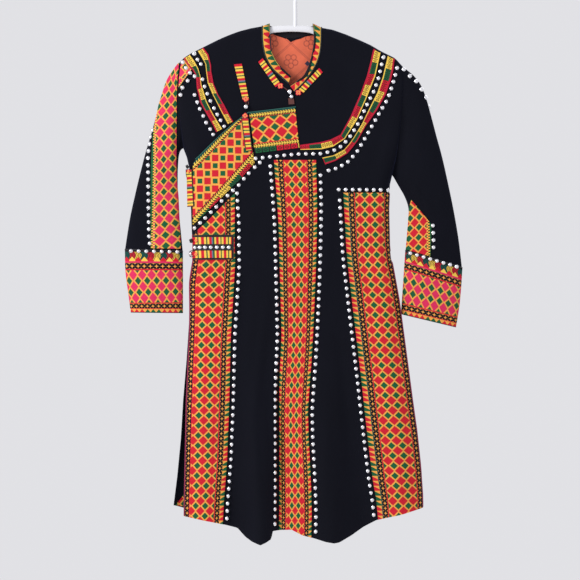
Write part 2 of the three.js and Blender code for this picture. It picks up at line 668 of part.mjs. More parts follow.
function sleeveGrid(table, armhole, side) {
  const grid = { p: [], n: [], g: [], closed: true };
  const first = armhole[0];
  const last = armhole[RING_HALF];
  const span = Math.hypot(last.col - first.col, last.row - first.row);
  table.forEach((ring, r) => {
    const blend = smooth(r / 4);
    const line = [];
    const places = [];
    for (let k = 0; k < 2 * RING_HALF; k += 1) {
      const step = k <= RING_HALF ? k : 2 * RING_HALF - k;
      const rear = k > RING_HALF;
      const arm = armhole[step];
      const armShare = Math.hypot(arm.col - first.col, arm.row - first.row) / span;
      const bow = arm.col - lerp(first.col, last.col, armShare);
      const roundShare = shareAt(step, ring.share);
      const s = lerp(armShare, roundShare, blend);
      const col = lerp(ring.outerCol, ring.innerCol, s) + bow * (1 - blend) + (r === 0 ? side * 0.2 : 0);
      const row = lerp(ring.outerRow, ring.innerRow, s);
      const face = rear ? back : front;
      const atSeam = step === 0 || step === RING_HALF ? 0 : depthAt(face, arm.col, arm.row);
      const round = (rear ? ring.back : ring.front) * Math.sqrt(4 * s * (1 - s));
      const depth = r === 0 ? atSeam : lerp(atSeam, round, blend);
      line.push(new THREE.Vector3(gx(col), face.sign * depth, gz(row)));
      places.push([col, row]);
    }
    grid.p.push(line);
    grid.g.push(places);
  });
  const middle = grid.p.map((line) => middleOf(line));
  meshNormals(grid, (r, c) => new THREE.Vector3().subVectors(grid.p[r][c], middle[r]), true);
  grid.n[0].forEach((n) => flatten(n, 'x'));
  return grid;
}

const sleeveLeftGrid = sleeveGrid(sleeveLeft, armholeLeft, -1);
const sleeveRightGrid = sleeveGrid(sleeveRight, armholeRight, 1);
group.add(wall('sleeve_left', sleeveLeftGrid, CLOTH, COLOUR.velveteen, 0.85, true));
group.add(wall('sleeve_right', sleeveRightGrid, CLOTH, COLOUR.velveteen, 0.85, true));

const cuffNames = sleeveNames.slice(0, 6);

const cuffLeft = rows(cuffNames, [
  [124.3, 249.4, 182.6, 251, 14.5, 13.5], [125, 272, 182.7, 272, 15, 14],
  [127.8, 294, 182.7, 293, 15, 14], [130.3, 312.6, 182.7, 313.2, 15, 14],
]);

const cuffRight = rows(cuffNames, [
  [463, 267.8, 405.6, 250.45, 14.5, 13.5], [461.6, 289, 404.2, 271, 15, 14],
  [459.7, 308, 402.7, 293, 15, 14], [456.5, 327.5, 401.2, 314.3, 15, 14],
]);

function ringGrid(table) {
  const grid = { p: [], n: [], g: [], closed: true };
  for (const ring of table) {
    const line = [];
    const places = [];
    for (let k = 0; k < 2 * RING_HALF; k += 1) {
      const angle = (Math.PI * k) / RING_HALF;
      const s = (1 - Math.cos(angle)) / 2;
      const col = lerp(ring.outerCol, ring.innerCol, s);
      const row = lerp(ring.outerRow, ring.innerRow, s);
      const depth = Math.sin(angle) * (k > RING_HALF ? ring.back : ring.front);
      line.push(new THREE.Vector3(gx(col), -depth, gz(row)));
      places.push([col, row]);
    }
    grid.p.push(line);
    grid.g.push(places);
  }
  const middle = grid.p.map((line) => middleOf(line));
  return meshNormals(grid, (r, c) => new THREE.Vector3().subVectors(grid.p[r][c], middle[r]), true);
}

const cuffLeftGrid = ringGrid(cuffLeft);
const cuffRightGrid = ringGrid(cuffRight);
group.add(wall('cuff_left', cuffLeftGrid, CLOTH, COLOUR.brocade, 0.55, true));
group.add(wall('cuff_right', cuffRightGrid, CLOTH, COLOUR.brocade, 0.55, true));

// Part of a grid, between two rows and two columns, as its own grid
function subGrid(grid, r0, r1, c0, c1, lift) {
  const cut = (lines) => lines.slice(r0, r1 + 1).map((line) => line.slice(c0, c1 + 1));
  const n = cut(grid.n);
  const p = cut(grid.p).map((line, r) => line.map((v, c) => v.clone().addScaledVector(n[r][c], lift)));
  return { p, n, g: cut(grid.g) };
}

const sleeveBandLeft = subGrid(sleeveLeftGrid, 5, 11, 3, 7, BROCADE_TOP);
const sleeveBandRight = subGrid(sleeveRightGrid, 8, 11, 3, 7, BROCADE_TOP);
group.add(wall('sleeve_band_left', sleeveBandLeft, BROCADE, COLOUR.brocade, 0.55));
group.add(wall('sleeve_band_right', sleeveBandRight, BROCADE, COLOUR.brocade, 0.55));

// Brocade bands down the skirt, on the over-layer's own columns

function bandPlaces(topRows, firstRow, from, to) {
  const lines = topRows.map((row) => {
    const all = stops(row, read(frontEdgeLeft, 'col', row), seamRight(row));
    return all.slice(from, to + 1).map((col) => [col, row]);
  });
  const flat = MAIN_FLAT_ROWS.filter((row) => row >= firstRow).map((row) => {
    const all = stops(row, read(frontEdgeLeft, 'col', row), read(frontEdgeRight, 'col', row));
    return all.slice(from, to + 1).map((col) => [col, row + hemShift(frontHem, col, row, MAIN_HEM)]);
  });
  return [...lines, ...flat];
}

const bandCentre = bandPlaces([160.5, 180, 200, 222], 245, 9, 11);
group.add(applique('band_centre', mainGrid, bandCentre, COLOUR.brocade));
const bandRight = bandPlaces([193, 208, 225], 245, BAND_R_INDEX + 1, MAIN_COLS - 1);
group.add(applique('band_right', mainGrid, bandRight, COLOUR.brocade));

const flapFoot = rows(['col', 'row'], [[193, 236], [200, 229], [216, 213], [231, 197.5], [246, 182]]);
function bandLeftPlaces() {
  const places = bandPlaces([222], 245, 0, 3);
  places[0] = places[0].map(([col]) => [col, read(flapFoot, 'row', col, 'col')]);
  return places;
}
group.add(applique('band_left', mainGrid, bandLeftPlaces(), COLOUR.brocade));

// Chest flaps of brocade

const flapAPlaces = rows(['row', 'from', 'to', 'fall'], [
  [115.5, 249.5, 294, -3.5], [124, 250.5, 295, -3.5], [133, 251.5, 296, -3.5], [142, 252.5, 297, -3.5],
  [150, 253.5, 297.8, -5],
]).map((line) => QUARTERS.map((s) => [lerp(line.from, line.to, s), line.row + line.fall * s + 1.5]));
group.add(applique('flap_a', mainGrid, flapAPlaces, COLOUR.brocade));

const between = (line, s) => [lerp(line.ac, line.bc, s), lerp(line.ar, line.br, s)];
const flapBPlaces = rows(['ac', 'ar', 'bc', 'br'], [
  [246.5, 116, 250.5, 152], [233.5, 127, 238, 173], [221.5, 137, 227, 186],
  [206.6, 151.5, 207.6, 205.5], [198.2, 160, 199.3, 215], [194.4, 166, 194.4, 220],
]).map((line) => QUARTERS.map((s) => between(line, s)));
const FOLD_LIFT = 0.7;
group.add(applique('flap_b', mainGrid, flapBPlaces, COLOUR.brocade, BROCADE_TOP + FOLD_LIFT));

// Yoke ribbons, two to a side with a stud row between them

const edgeNames = ['ac', 'ar', 'bc', 'br'];

// A ribbon between two edges, each row naming a place on either edge
function ribbon(name, base, table, colour, extra) {
  const places = table.map((line) => [0, 0.5, 1].map((s) => between(line, s)));
  return applique(name, base, places, colour, BROCADE_TOP + extra);
}

group.add(ribbon('yoke_right_inner', mainGrid, rows(edgeNames, [
  [373.6, 48.9, 381, 53.3], [372.4, 52.9, 380.1, 57.6], [371, 59.6, 379.2, 61.4],
  [366.9, 76, 376, 76.4], [359.8, 95.3, 366.9, 98.9], [350.6, 116.7, 357.4, 120.6],
  [340.4, 135.1, 345, 139.7], [330.2, 140.2, 333, 147.7], [320, 142.8, 321.5, 150.4],
  [300, 145.5, 300.5, 150.8],
]), COLOUR.ribbon, 0));
group.add(ribbon('yoke_right_outer', mainGrid, rows(edgeNames, [
  [387, 56, 394.5, 59.3], [386.2, 60.3, 393.9, 63.7], [384.6, 66, 393.4, 69], [381.9, 77.3, 391, 79.5],
  [376.7, 92.6, 385.2, 95.6], [369.3, 107.3, 376.5, 111], [361.9, 123.3, 365.8, 126],
  [352.9, 138.2, 357.5, 141], [348.6, 144.2, 352.4, 147.8], [344, 149.5, 347, 154],
  [333, 155.5, 335.5, 161.2], [322, 157.6, 325.1, 165],
]), COLOUR.ribbon, 0.5));
group.add(ribbon('yoke_left_inner', underGrid, rows(edgeNames, [
  [198.6, 51.2, 205, 47.8], [199.3, 55, 206.8, 51.4], [200.8, 59, 209, 58.2], [204.8, 66.5, 211, 69],
  [205.8, 78.5, 214, 83], [210.6, 93, 219, 93.5], [217.5, 107, 226.5, 107.5],
  [223.8, 119, 230.5, 119.5],
]), COLOUR.ribbon, 0.3));
group.add(ribbon('yoke_left_outer', underGrid, rows(edgeNames, [
  [186.8, 57.3, 191.8, 54.3], [188.2, 60.6, 193.2, 57.8], [190.4, 65, 194.8, 62],
  [195.3, 71, 198.2, 68.4], [196.4, 80, 199.6, 80.4], [197.8, 88, 201.6, 88.2],
  [200.9, 101.4, 207.2, 102.6], [208.8, 115, 214.5, 115.8], [214.4, 124.5, 219.4, 123.2],
]), COLOUR.ribbon, 0.8));

// Ribbon tabs

const TAB_LIFT = BROCADE_TOP + BROCADE_TOP;
const TAB_PARTS = 3;

// A tab's two ends, each from one edge to the other: ac ar bc br
function tab(name, base, top, foot, lift = BROCADE_TOP) {
  const [from, to] = rows(edgeNames, [top, foot]);
  const places = Array.from({ length: TAB_PARTS + 1 }, (_, i) => {
    const share = i / TAB_PARTS;
    const at = (col, row) => [lerp(from[col], to[col], share), lerp(from[row], to[row], share)];
    return [at('ac', 'ar'), at('bc', 'br')];
  });
  return applique(name, base, places, COLOUR.stripe, lift);
}

const UPPER_TAB_LIFT = TAB_LIFT + FOLD_LIFT;
group.add(tab('chest_tab_upper', underGrid, [234, 64.5, 241.7, 63.8], [242.6, 99.6, 248.8, 99]));
group.add(tab('chest_tab_lower', mainGrid, [241.7, 119, 248.5, 119], [246, 151.7, 252, 151], UPPER_TAB_LIFT));
group.add(tab('collar_tab_left', underGrid, [258.2, 62, 262.6, 58.2], [275.6, 87.4, 280.6, 84]));
group.add(tab('collar_tab_right', mainGrid, [319.2, 68.2, 322.8, 72.6], [298.6, 90.2, 303.2, 93.4]));

const waistPlaces = (top, foot) => [top, foot].map((row) => {
  const all = stops(row, read(frontEdgeLeft, 'col', row), read(frontEdgeRight, 'col', row));
  return [all[0] + 0.6, all[1], all[2], 232].map((col) => [col, row]);
});
group.add(applique('waist_tab_upper', mainGrid, waistPlaces(236.6, 244.6), COLOUR.stripe, TAB_LIFT + 0.1));
const waistLower = waistPlaces(250.5, 258.2);
group.add(applique('waist_tab_lower', mainGrid, waistLower, COLOUR.stripe, UPPER_TAB_LIFT + 0.2));
group.add(tab('side_tab', mainGrid, [193.9, 169, 198.4, 169], [193.9, 205, 198.4, 205], UPPER_TAB_LIFT));

// Stud rows

const studNames = ['col', 'row'];
const studPath = (values) => rows(studNames, values);

function columnPath(index, first, last) {
  const steps = 12;
  return Array.from({ length: steps + 1 }, (_, i) => {
    const row = lerp(first, last, i / steps);
    const col = read(bandStops, index, row);
    return { col, row: row + hemShift(frontHem, col, Math.min(row, MAIN_HEM), MAIN_HEM) };
  });
}

const FLAT_LAST = 517;
group.add(studRow('studs_centre_left', mainGrid, columnPath('ctrL', 163, FLAT_LAST)));
group.add(studRow('studs_centre_right', mainGrid, columnPath('ctrR', 172, FLAT_LAST)));
group.add(studRow('studs_band_right', mainGrid, columnPath('bandR', 197, FLAT_LAST)));
group.add(studRow('studs_band_left', mainGrid, columnPath('bandL', 190, FLAT_LAST)));
group.add(studRow('studs_band_right_top', mainGrid, studPath([[345, 189.5], [381, 190.3]])));
group.add(studRow('studs_flap_b', mainGrid, studPath([
  [249, 175], [233, 190.3], [216.8, 207.2], [201.5, 222.6],
])));
group.add(studRow('studs_yoke_right', mainGrid, studPath([
  [383.4, 58.5], [382.2, 61.8], [379, 76.6], [373.9, 91.2], [366.4, 106], [359.3, 121.8],
  [350.8, 135.8], [342.1, 146.1], [332, 151.8], [320, 154.2], [300, 154.4], [282, 155.9], [267, 157.6],
  [256, 159],
])));
group.add(studRow('studs_yoke_right_outer', mainGrid, studPath([
  [397.4, 66.5], [396, 72], [392.4, 85], [387.4, 99.5], [378.5, 114.5], [368, 133], [358, 150.4],
  [349, 161.3], [338, 168.2], [326.5, 171.5],
])));
group.add(studRow('studs_yoke_left', underGrid, studPath([
  [196.4, 57.5], [200.7, 64.2], [203.7, 78.5], [207, 91.5], [213.4, 105.4], [220, 119], [223.5, 125],
])));
group.add(studRow('studs_yoke_left_outer', underGrid, studPath([
  [195.2, 92], [197.3, 101], [202.6, 114], [208.6, 125.6], [212.6, 132.4],
])));

// Front half of a tube, opened flat, so that places on it are looked up on the front only
const frontHalf = (grid) => ({
  p: grid.p.map((line) => line.slice(0, RING_HALF + 1)),
  n: grid.n.map((line) => line.slice(0, RING_HALF + 1)),
  g: grid.g.map((line) => line.slice(0, RING_HALF + 1)),
});

const cuffLeftFront = frontHalf(cuffLeftGrid);
const cuffRightFront = frontHalf(cuffRightGrid);
const STEEP_LIFT = 1.5;
group.add(studRow('studs_sleeve_left', frontHalf(sleeveLeftGrid), studPath([
  [152, 150], [150, 160], [148.6, 175], [148.4, 190], [148.6, 213], [149, 236], [149.2, 244],
]), STEEP_LIFT));
group.add(studRow('studs_sleeve_right', frontHalf(sleeveRightGrid), studPath([
  [433.4, 228], [434, 240], [434.4, 251],
])));
const cuffLeftPath = studPath([[129.4, 253.6], [153, 253.4], [178, 253.8]]);
const cuffRightPath = studPath([[410, 255.6], [433, 262.5], [457, 269.2]]);
group.add(studRow('studs_cuff_left', cuffLeftFront, cuffLeftPath));
group.add(studRow('studs_cuff_right', cuffRightFront, cuffRightPath));

// Buttons and knots, seated just off the cloth

const METAL = { color: COLOUR.metal, roughness: 0.3, metalness: 0.9 };
const KNOTTED = { color: COLOUR.knot, roughness: 0.8, metalness: 0 };
const UPPER_SEAT = UPPER_TAB_LIFT + LAY;

function ball(name, base, [col, row], radius, squash, lift, look) {
  const seat = onGrid(base, col, row);
  const geometry = new THREE.SphereGeometry(radius, 12, 8);
  geometry.rotateX(Math.PI / 2);
  geometry.scale(1, squash, 1);
  const mesh = new THREE.Mesh(geometry, new THREE.MeshStandardMaterial(look));
  mesh.name = name;
  mesh.position.copy(seat.p.addScaledVector(seat.n, lift + radius * squash));
  return mesh;
}

group.add(ball('button_neck', underGrid, [288.6, 92.5], 4.6, 0.8, LAY, METAL));
group.add(ball('button_chest', underGrid, [246, 106.6], 4.6, 0.8, LAY, METAL));
group.add(ball('knot_waist', mainGrid, [197.8, 240.6], 4.4, 0.7, UPPER_SEAT, KNOTTED));
group.add(ball('button_waist', mainGrid, [197.8, 254.5], 3.8, 0.7, UPPER_SEAT, METAL));

// Hanger: two arms and a bar in one moulding, with a hook of the same plastic

const barTop = rows(['col', 'row', 'high', 'thick'], [
  [188, 56.2, 11, 6.5], [202, 48.7, 12, 7], [218, 41.7, 13, 7], [240, 34.9, 13.5, 7],
  [256, 29.8, 14, 7], [266, 27.6, 14, 7], [273, 25.6, 14, 7], [284, 24.8, 13.5, 7],
  [292, 24.6, 13.5, 7], [300, 24.8, 13.5, 7], [310, 25.6, 14, 7], [317, 28, 14, 7], [328, 30.6, 14, 7],
  [345, 36.6, 13.5, 7], [371, 47.9, 13, 7], [384, 55.5, 12, 7], [396, 63, 11, 6],
]);

// Sweeps a rounded section along a path of named stations
function sweep(stations, sides) {
  const positions = [];
  const faces = [];
  stations.forEach((here, i) => {
    const before = stations[Math.max(0, i - 1)];
    const after = stations[Math.min(stations.length - 1, i + 1)];
    const dir = new THREE.Vector2(after.x - before.x, after.z - before.z).normalize();
    for (let k = 0; k < sides; k += 1) {
      const angle = (2 * Math.PI * (k + 0.5)) / sides;
      const up = (Math.cos(angle) * here.high) / 2;
      const out = (Math.sin(angle) * here.thick) / 2;
      positions.push(new THREE.Vector3(here.x - dir.y * up, out, here.z + dir.x * up));
      if (i > 0) {
        const a = (i - 1) * sides;
        const b = i * sides;
        const m = (k + 1) % sides;
        faces.push([a + k, b + k, b + m], [a + k, b + m, a + m]);
      }
    }
  });
  const end = (stations.length - 1) * sides;
  for (let k = 1; k < sides - 1; k += 1) faces.push([0, k, k + 1], [end, end + k + 1, end + k]);
  return meshOf('sweep', positions, faces, COLOUR.hanger, 0.35);
}

const barStations = barTop.map(({ col, row, high, thick }) => {
  const z = gz(row) - high / 2;
  return { x: gx(col), z, high, thick };
});
const HOOK_WIDE = 8.4;
const HOOK_THICK = 6.4;
const HOOK_RADIUS = 20;
const HOOK_CENTRE = -HOOK_RADIUS;
const stem = rows(['x', 'up'], [[7, -10], [7, 12], [7, 30], [7, 46], [9.5, 54]]);
const curl = [-45, -22, 0, 22, 45, 67, 90, 112, 135, 157, 180, 196];

const hookStations = [
  ...stem.map((s) => ({ x: s.x, z: s.up - HOOK_RISE })),
  ...curl.map((degrees) => {
    const angle = (degrees * Math.PI) / 180;
    const reach = HOOK_RADIUS + HOOK_WIDE / 2;
    return { x: reach * Math.cos(angle), z: HOOK_CENTRE + reach * Math.sin(angle) };
  }),
].map((s) => ({ ...s, high: HOOK_WIDE, thick: HOOK_THICK }));

const manifold = await Module();
manifold.setup();

function solidOf(mesh) {
  const vertProperties = new Float32Array(mesh.geometry.attributes.position.array);
  const triVerts = new Uint32Array(mesh.geometry.index.array);
  const data = new manifold.Mesh({ numProp: 3, vertProperties, triVerts });
  data.merge();
  return new manifold.Manifold(data);
}

function meshFrom(name, solid, colour, roughness) {
  const data = solid.getMesh();
  const geometry = new THREE.BufferGeometry();
  geometry.setAttribute('position', new THREE.Float32BufferAttribute(Array.from(data.vertProperties), 3));
  geometry.setIndex(Array.from(data.triVerts));
  geometry.computeVertexNormals();
  const material = new THREE.MeshStandardMaterial({ color: colour, roughness, metalness: 0 });
  const mesh = new THREE.Mesh(geometry, material);
  mesh.name = name;
  return mesh;
}

const hangerSolid = solidOf(sweep(barStations, 10)).add(solidOf(sweep(hookStations, 10)));
group.add(meshFrom('hanger', hangerSolid, COLOUR.hanger, 0.35));

export default group;
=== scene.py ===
# Dressed model of a wedding tunic of dark velveteen with brocade bands, hung on a white hanger.
# Places are drafted in columns (across) and rows (down), GRID metres to a step, as in the part's source.
import math

import bpy
import numpy as np
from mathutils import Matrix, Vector


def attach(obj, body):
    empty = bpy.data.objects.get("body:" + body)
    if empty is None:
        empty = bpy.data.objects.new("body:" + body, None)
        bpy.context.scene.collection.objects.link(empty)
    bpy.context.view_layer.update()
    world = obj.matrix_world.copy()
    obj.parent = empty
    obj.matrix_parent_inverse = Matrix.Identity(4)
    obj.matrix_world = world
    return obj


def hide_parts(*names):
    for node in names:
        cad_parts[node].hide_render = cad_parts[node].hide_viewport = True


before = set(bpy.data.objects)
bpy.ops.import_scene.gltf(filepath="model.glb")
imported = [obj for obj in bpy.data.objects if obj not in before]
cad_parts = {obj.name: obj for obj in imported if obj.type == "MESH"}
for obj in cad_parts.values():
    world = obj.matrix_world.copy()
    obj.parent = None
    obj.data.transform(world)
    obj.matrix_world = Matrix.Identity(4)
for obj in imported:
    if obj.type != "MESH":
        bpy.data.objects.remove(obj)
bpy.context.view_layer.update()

MM = 0.001
GRID = 2.1 * MM
CENTRE_COL = 292
COLLAR_TOP_ROW = 23
HOOK_RISE = 101 * MM
CLOTH = 2 * MM
BROCADE = 1.1 * MM
LAY = 0.6 * MM
BROCADE_TOP = LAY + BROCADE
RIDGE_ROWS = 4.5
RIDGE_GAP = 0.15 * MM
STUD_PITCH = 7.3
HEM_ROW = 540
MAIN_HEM = 522
BACK_HEM = 512
LET_DOWN_ROW = 400
SEAM_END_ROW = 262
STRIP = 4
RING = 16
RING_HALF = 8


# Tables

def table(names, lines):
    names = names.split()
    data = np.array(lines, dtype=float)
    return {name: data[:, i] for i, name in enumerate(names)}


def read(data, key, at, by="row"):
    return np.interp(at, data[by], data[key])


def soft_read(data, key, at, by="row", reach=5.0):
    at = np.asarray(at, dtype=float)
    return sum(np.interp(at + step * reach, data[by], data[key]) for step in (-1, -0.5, 0, 0.5, 1)) / 5


def pair(first, second):
    """Two grids of values as one grid of places."""
    return np.stack(np.broadcast_arrays(first, second), axis=-1)


def run_along(path):
    """How far each place of a path lies along it."""
    return np.concatenate([[0], np.cumsum(np.linalg.norm(np.diff(path, axis=0), axis=-1))])


def lerp(a, b, s):
    return a + (b - a) * s


def clamp01(s):
    return np.clip(s, 0, 1)


def smooth(s):
    s = clamp01(s)
    return s * s * (3 - 2 * s)


def quarter(s):
    return np.sqrt(np.maximum(0, 1 - (1 - clamp01(s)) ** 2))


def gx(col):
    return (np.asarray(col) - CENTRE_COL) * GRID


def gz(row):
    return -HOOK_RISE - (np.asarray(row) - COLLAR_TOP_ROW) * GRID


shoulder_line = table("col row", [
    [181, 60], [184, 57], [190, 53], [202, 47], [218, 39], [228, 34.4], [240, 30.2], [251, 27.4], [262, 25.5],
    [322, 27], [333, 29], [346, 33.6], [360, 39.4], [371, 44.4], [381, 50.4], [395.5, 57.5], [403, 66],
    [406, 69],
])
armhole_left = table("col row", [
    [184, 57], [182.5, 59], [181, 63], [179.5, 75], [178.5, 90], [179, 105], [180, 120], [181.5, 135],
    [183, 148],
])
armhole_right = table("col row", [
    [403, 66], [403.2, 68.2], [403.2, 72.5], [403, 84], [402.3, 100], [401, 118], [399, 137], [396.5, 156],
    [392.5, 175],
])
neck_left = table("col row", [
    [262, 25.5], [261.9, 27.2], [261.9, 31], [262.1, 40.8], [263.7, 51], [266.5, 59.5], [272.3, 68.9],
    [280, 76], [288.3, 83.5],
])
neck_right = table("col row", [
    [322, 27], [321.8, 28.7], [321.6, 32.5], [321.4, 41], [320.2, 53], [316.5, 64], [310, 75], [302, 85],
    [294.5, 92],
])
neck_back = table("col row", [
    [262, 25.5], [263.4, 27.3], [273.8, 33], [284.7, 36.3], [293.5, 37], [300, 36.3], [310, 33.5],
    [320.6, 28.7], [322, 27],
])
side_left = table("row col", [
    [148, 183], [157, 186.5], [168, 189], [182, 190], [205, 190.5], [230, 191.3], [259, 193],
])
front_edge_left = table("row col", [
    [163, 193.2], [182, 193.6], [205, 193.4], [230, 194], [259, 194.8], [272, 192.6], [283, 190.8],
    [338, 189.5], [400, 186.7], [515, 184.3],
])
front_edge_right = table("row col", [
    [175, 392.5], [184, 390.3], [194, 389.4], [206, 388.9], [214, 388.8], [230, 389.3], [257, 389.9],
    [264, 392.2], [282, 395.5], [300, 398.8], [400, 412.1], [432, 416.4], [470, 420.2], [507, 422.4],
])
back_edge_left = table("row col", [
    [259, 193], [300, 190], [350, 187], [400, 182.7], [456, 179.4], [492, 175.3], [510, 173],
])
back_edge_right = table("row col", [
    [259, 389.9], [282, 392], [300, 394.5], [350, 402], [400, 408.5], [470, 417], [510, 419.5],
])
front_hem = table("col row", [
    [184, 515.3], [225.3, 524], [237.5, 527.5], [245.7, 536.2], [251.8, 540.3], [260.5, 543.7], [266, 541.2],
    [271.3, 538], [273, 530.2], [291.7, 529.2], [302.5, 534.5], [313.4, 537.2], [325.3, 540.5], [334, 541.9],
    [339.4, 541], [351.3, 534.5], [363.3, 526.4], [376.3, 519.3], [400, 513.9], [423, 507.4],
])
back_hem = table("col row", [
    [172, 506], [184.5, 509.7], [220, 515], [255, 521], [292, 523], [330, 521], [365, 515], [395, 509],
    [420, 503],
])
DEPTH_NAMES = "row left mid right close"
front_depth = table(DEPTH_NAMES, [
    [25, 9, 9, 9, 15], [60, 9, 13, 9, 15], [75, 12, 16, 11, 15], [100, 15, 21, 14, 15], [120, 14, 24, 16, 15],
    [135, 10, 26, 16, 15], [148, 0, 27, 14, 15], [163, 0, 28, 9, 15], [175, 0, 28, 0, 15],
    [259, 0, 30, 0, 15], [285, 4, 30, 4, 18], [350, 6, 31, 6, 24], [545, 10, 33, 10, 26],
])
back_depth = table(DEPTH_NAMES, [
    [25, 9, 9, 9, 15], [60, 9, 11, 9, 15], [75, 11, 12, 10, 15], [100, 13, 14, 12, 15], [120, 12, 15, 14, 15],
    [135, 9, 16, 13, 15], [148, 0, 17, 11, 15], [163, 0, 18, 7, 15], [175, 0, 18, 0, 15], [259, 0, 20, 0, 15],
    [285, 4, 20, 4, 18], [350, 6, 22, 6, 24], [545, 9, 24, 9, 26],
])
FOLD_NAMES = "top_col top_row foot_col half rise"
front_folds = table(FOLD_NAMES, [
    [250, 290, 262, 17, 17], [292, 350, 286, 20, -10], [322, 290, 331, 22, 15], [345, 330, 366, 18, -9],
    [228, 340, 236, 15, -9], [206, 320, 205, 16, 5], [392, 320, 400, 18, 6],
])
back_folds = table(FOLD_NAMES, [
    [225, 280, 220, 20, 12], [262, 300, 258, 18, -8], [296, 270, 298, 22, 14], [334, 300, 340, 18, -8],
    [368, 280, 378, 20, 12],
])

# Creases listed one by one: from a top place to a foot place, half its width in steps, and its rise in mm
CREASE_NAMES = "top_col top_row foot_col foot_row half rise"
front_creases = table(CREASE_NAMES, [
    [247, 262, 241, 352, 9, -1.5], [268, 286, 252, 432, 8, 1.9], [262, 205, 254, 262, 10, -1.1],
    [258, 400, 264, 505, 7, -1.7], [331, 196, 322, 300, 9, 1.4], [337, 318, 350, 452, 9, -1.9],
    [326, 415, 322, 522, 8, 1.5], [222, 418, 212, 512, 12, -1.6], [380, 292, 394, 422, 10, 1.4],
    [404, 400, 410, 500, 8, -1.3], [302, 112, 336, 138, 12, -0.9], [344, 56, 352, 124, 14, -1.4],
    [362, 60, 392, 96, 11, 1.0], [330, 60, 322, 100, 10, 0.9], [386, 118, 372, 172, 10, -1.4],
    [216, 74, 198, 116, 10, -1.3], [232, 56, 238, 104, 12, 0.9], [186, 84, 199, 91, 7, -1.6],
    [196, 118, 212, 132, 8, 1.0], [262, 62, 272, 100, 9, -0.8], [300, 250, 304, 350, 8, -1.2],
    [279.5, 352, 280.5, 548, 7.5, -15], [303, 400, 308, 520, 7, 1.3], [357, 205, 366, 300, 11, -0.8],
])
back_creases = table(CREASE_NAMES, [
    [222, 60, 206, 128, 14, -1.4], [360, 58, 384, 126, 13, -1.6], [292, 44, 290, 118, 12, 0.8],
    [240, 190, 232, 280, 11, 1.2], [344, 180, 352, 292, 12, -1.3], [300, 210, 292, 330, 10, 1.0],
    [212, 330, 204, 486, 12, -1.8], [276, 340, 282, 500, 9, 1.5], [322, 330, 318, 480, 10, -1.7],
    [382, 320, 394, 470, 11, 1.6], [196, 150, 216, 190, 9, -1.2], [388, 160, 366, 206, 9, 1.1],
])
sleeve_creases = table(CREASE_NAMES, [
    [178.5, 78, 174, 196, 5, -3.2], [166, 84, 160, 128, 7, 1.3], [158, 150, 168, 176, 6, -1.2],
    [143, 176, 152, 212, 6, 1.4], [170, 196, 158, 224, 7, -1.3], [136, 214, 142, 244, 6, -1.2],
    [405, 104, 402, 176, 6, -2.8], [423, 96, 428, 150, 7, -1.2], [398, 180, 431, 223, 4.5, -3.0],
    [402, 174, 436, 214, 5, 2.4], [446, 176, 438, 212, 7, 1.4], [456, 216, 444, 252, 7, -1.5],
    [430, 130, 441, 168, 7, 1.2], [419, 186, 426, 212, 6, -0.9],
])


def fold_rise(folds, col, row):
    rise = 0
    for top_col, top_row, foot_col, half, height in zip(*(folds[k] for k in FOLD_NAMES.split())):
        s = (row - top_row) / (HEM_ROW - top_row)
        off = (col - lerp(top_col, foot_col, s)) / half
        across = np.where(np.abs(off) < 1, np.cos((math.pi / 2) * off) ** 2, 0)
        rise = rise + height * smooth(s) * across
    return rise


def crease_rise(creases, col, row):
    rise = 0
    for tc, tr, fc, fr, half, height in zip(*(creases[k] for k in CREASE_NAMES.split())):
        way_col, way_row = fc - tc, fr - tr
        s = ((col - tc) * way_col + (row - tr) * way_row) / (way_col ** 2 + way_row ** 2)
        near = clamp01(s)
        off = np.hypot(col - tc - near * way_col, row - tr - near * way_row) / half
        across = np.where(off < 1, np.cos((math.pi / 2) * np.minimum(off, 1)) ** 2, 0)
        rise = rise + height * across * np.sin(math.pi * clamp01(s)) ** 0.8
    return rise


def edge_at(armhole, side, lower, row):
    row = np.asarray(row, dtype=float)
    arm = np.interp(row, armhole["row"], armhole["col"])
    body = np.interp(row, side["row"], side["col"])
    skirt = np.interp(row, lower["row"], lower["col"])
    return np.where(row <= armhole["row"][-1], arm, np.where(row <= side["row"][-1], body, skirt))


def cut(data, count):
    return {key: values[:count] for key, values in data.items()}


def seam_left(row):
    return edge_at(armhole_left, side_left, back_edge_left, row)


def seam_right(row):
    return edge_at(armhole_right, front_edge_right, front_edge_right, row)


def back_right(row):
    return edge_at(armhole_right, cut(front_edge_right, 7), back_edge_right, row)


front = dict(
    left=seam_left, right=seam_right, depth=front_depth, folds=front_folds, creases=front_creases, sign=-1)
back = dict(
    left=seam_left, right=back_right, depth=back_depth, folds=back_folds, creases=back_creases, sign=1)


def depth_at(face, col, row):
    drop = row - soft_read(shoulder_line, "row", col, "col", 2.0)
    from_left = col - face["left"](row)
    from_right = face["right"](row) - col
    close = soft_read(face["depth"], "close", row)
    mid = soft_read(face["depth"], "mid", row)
    left = soft_read(face["depth"], "left", row, reach=3)
    right = soft_read(face["depth"], "right", row, reach=3)
    edge = np.where(from_left < from_right, left, right)
    rounding = quarter(np.minimum(from_left, from_right) / close)
    body = edge + (mid - edge) * rounding
    soft = fold_rise(face["folds"], col, row) + crease_rise(face["creases"], col, row) * rounding
    return RIDGE_GAP + quarter(drop / RIDGE_ROWS) * (body + soft) * MM


def unit(vectors):
    return vectors / np.maximum(np.linalg.norm(vectors, axis=-1, keepdims=True), 1e-9)


def normal_at(face, col, row):
    way = 0.6
    across = (depth_at(face, col + way, row) - depth_at(face, col - way, row)) / (2 * way * GRID)
    down = (depth_at(face, col, row + way) - depth_at(face, col, row - way)) / (2 * way * GRID)
    return unit(np.stack([-across, np.full_like(across, face["sign"]), down], axis=-1))


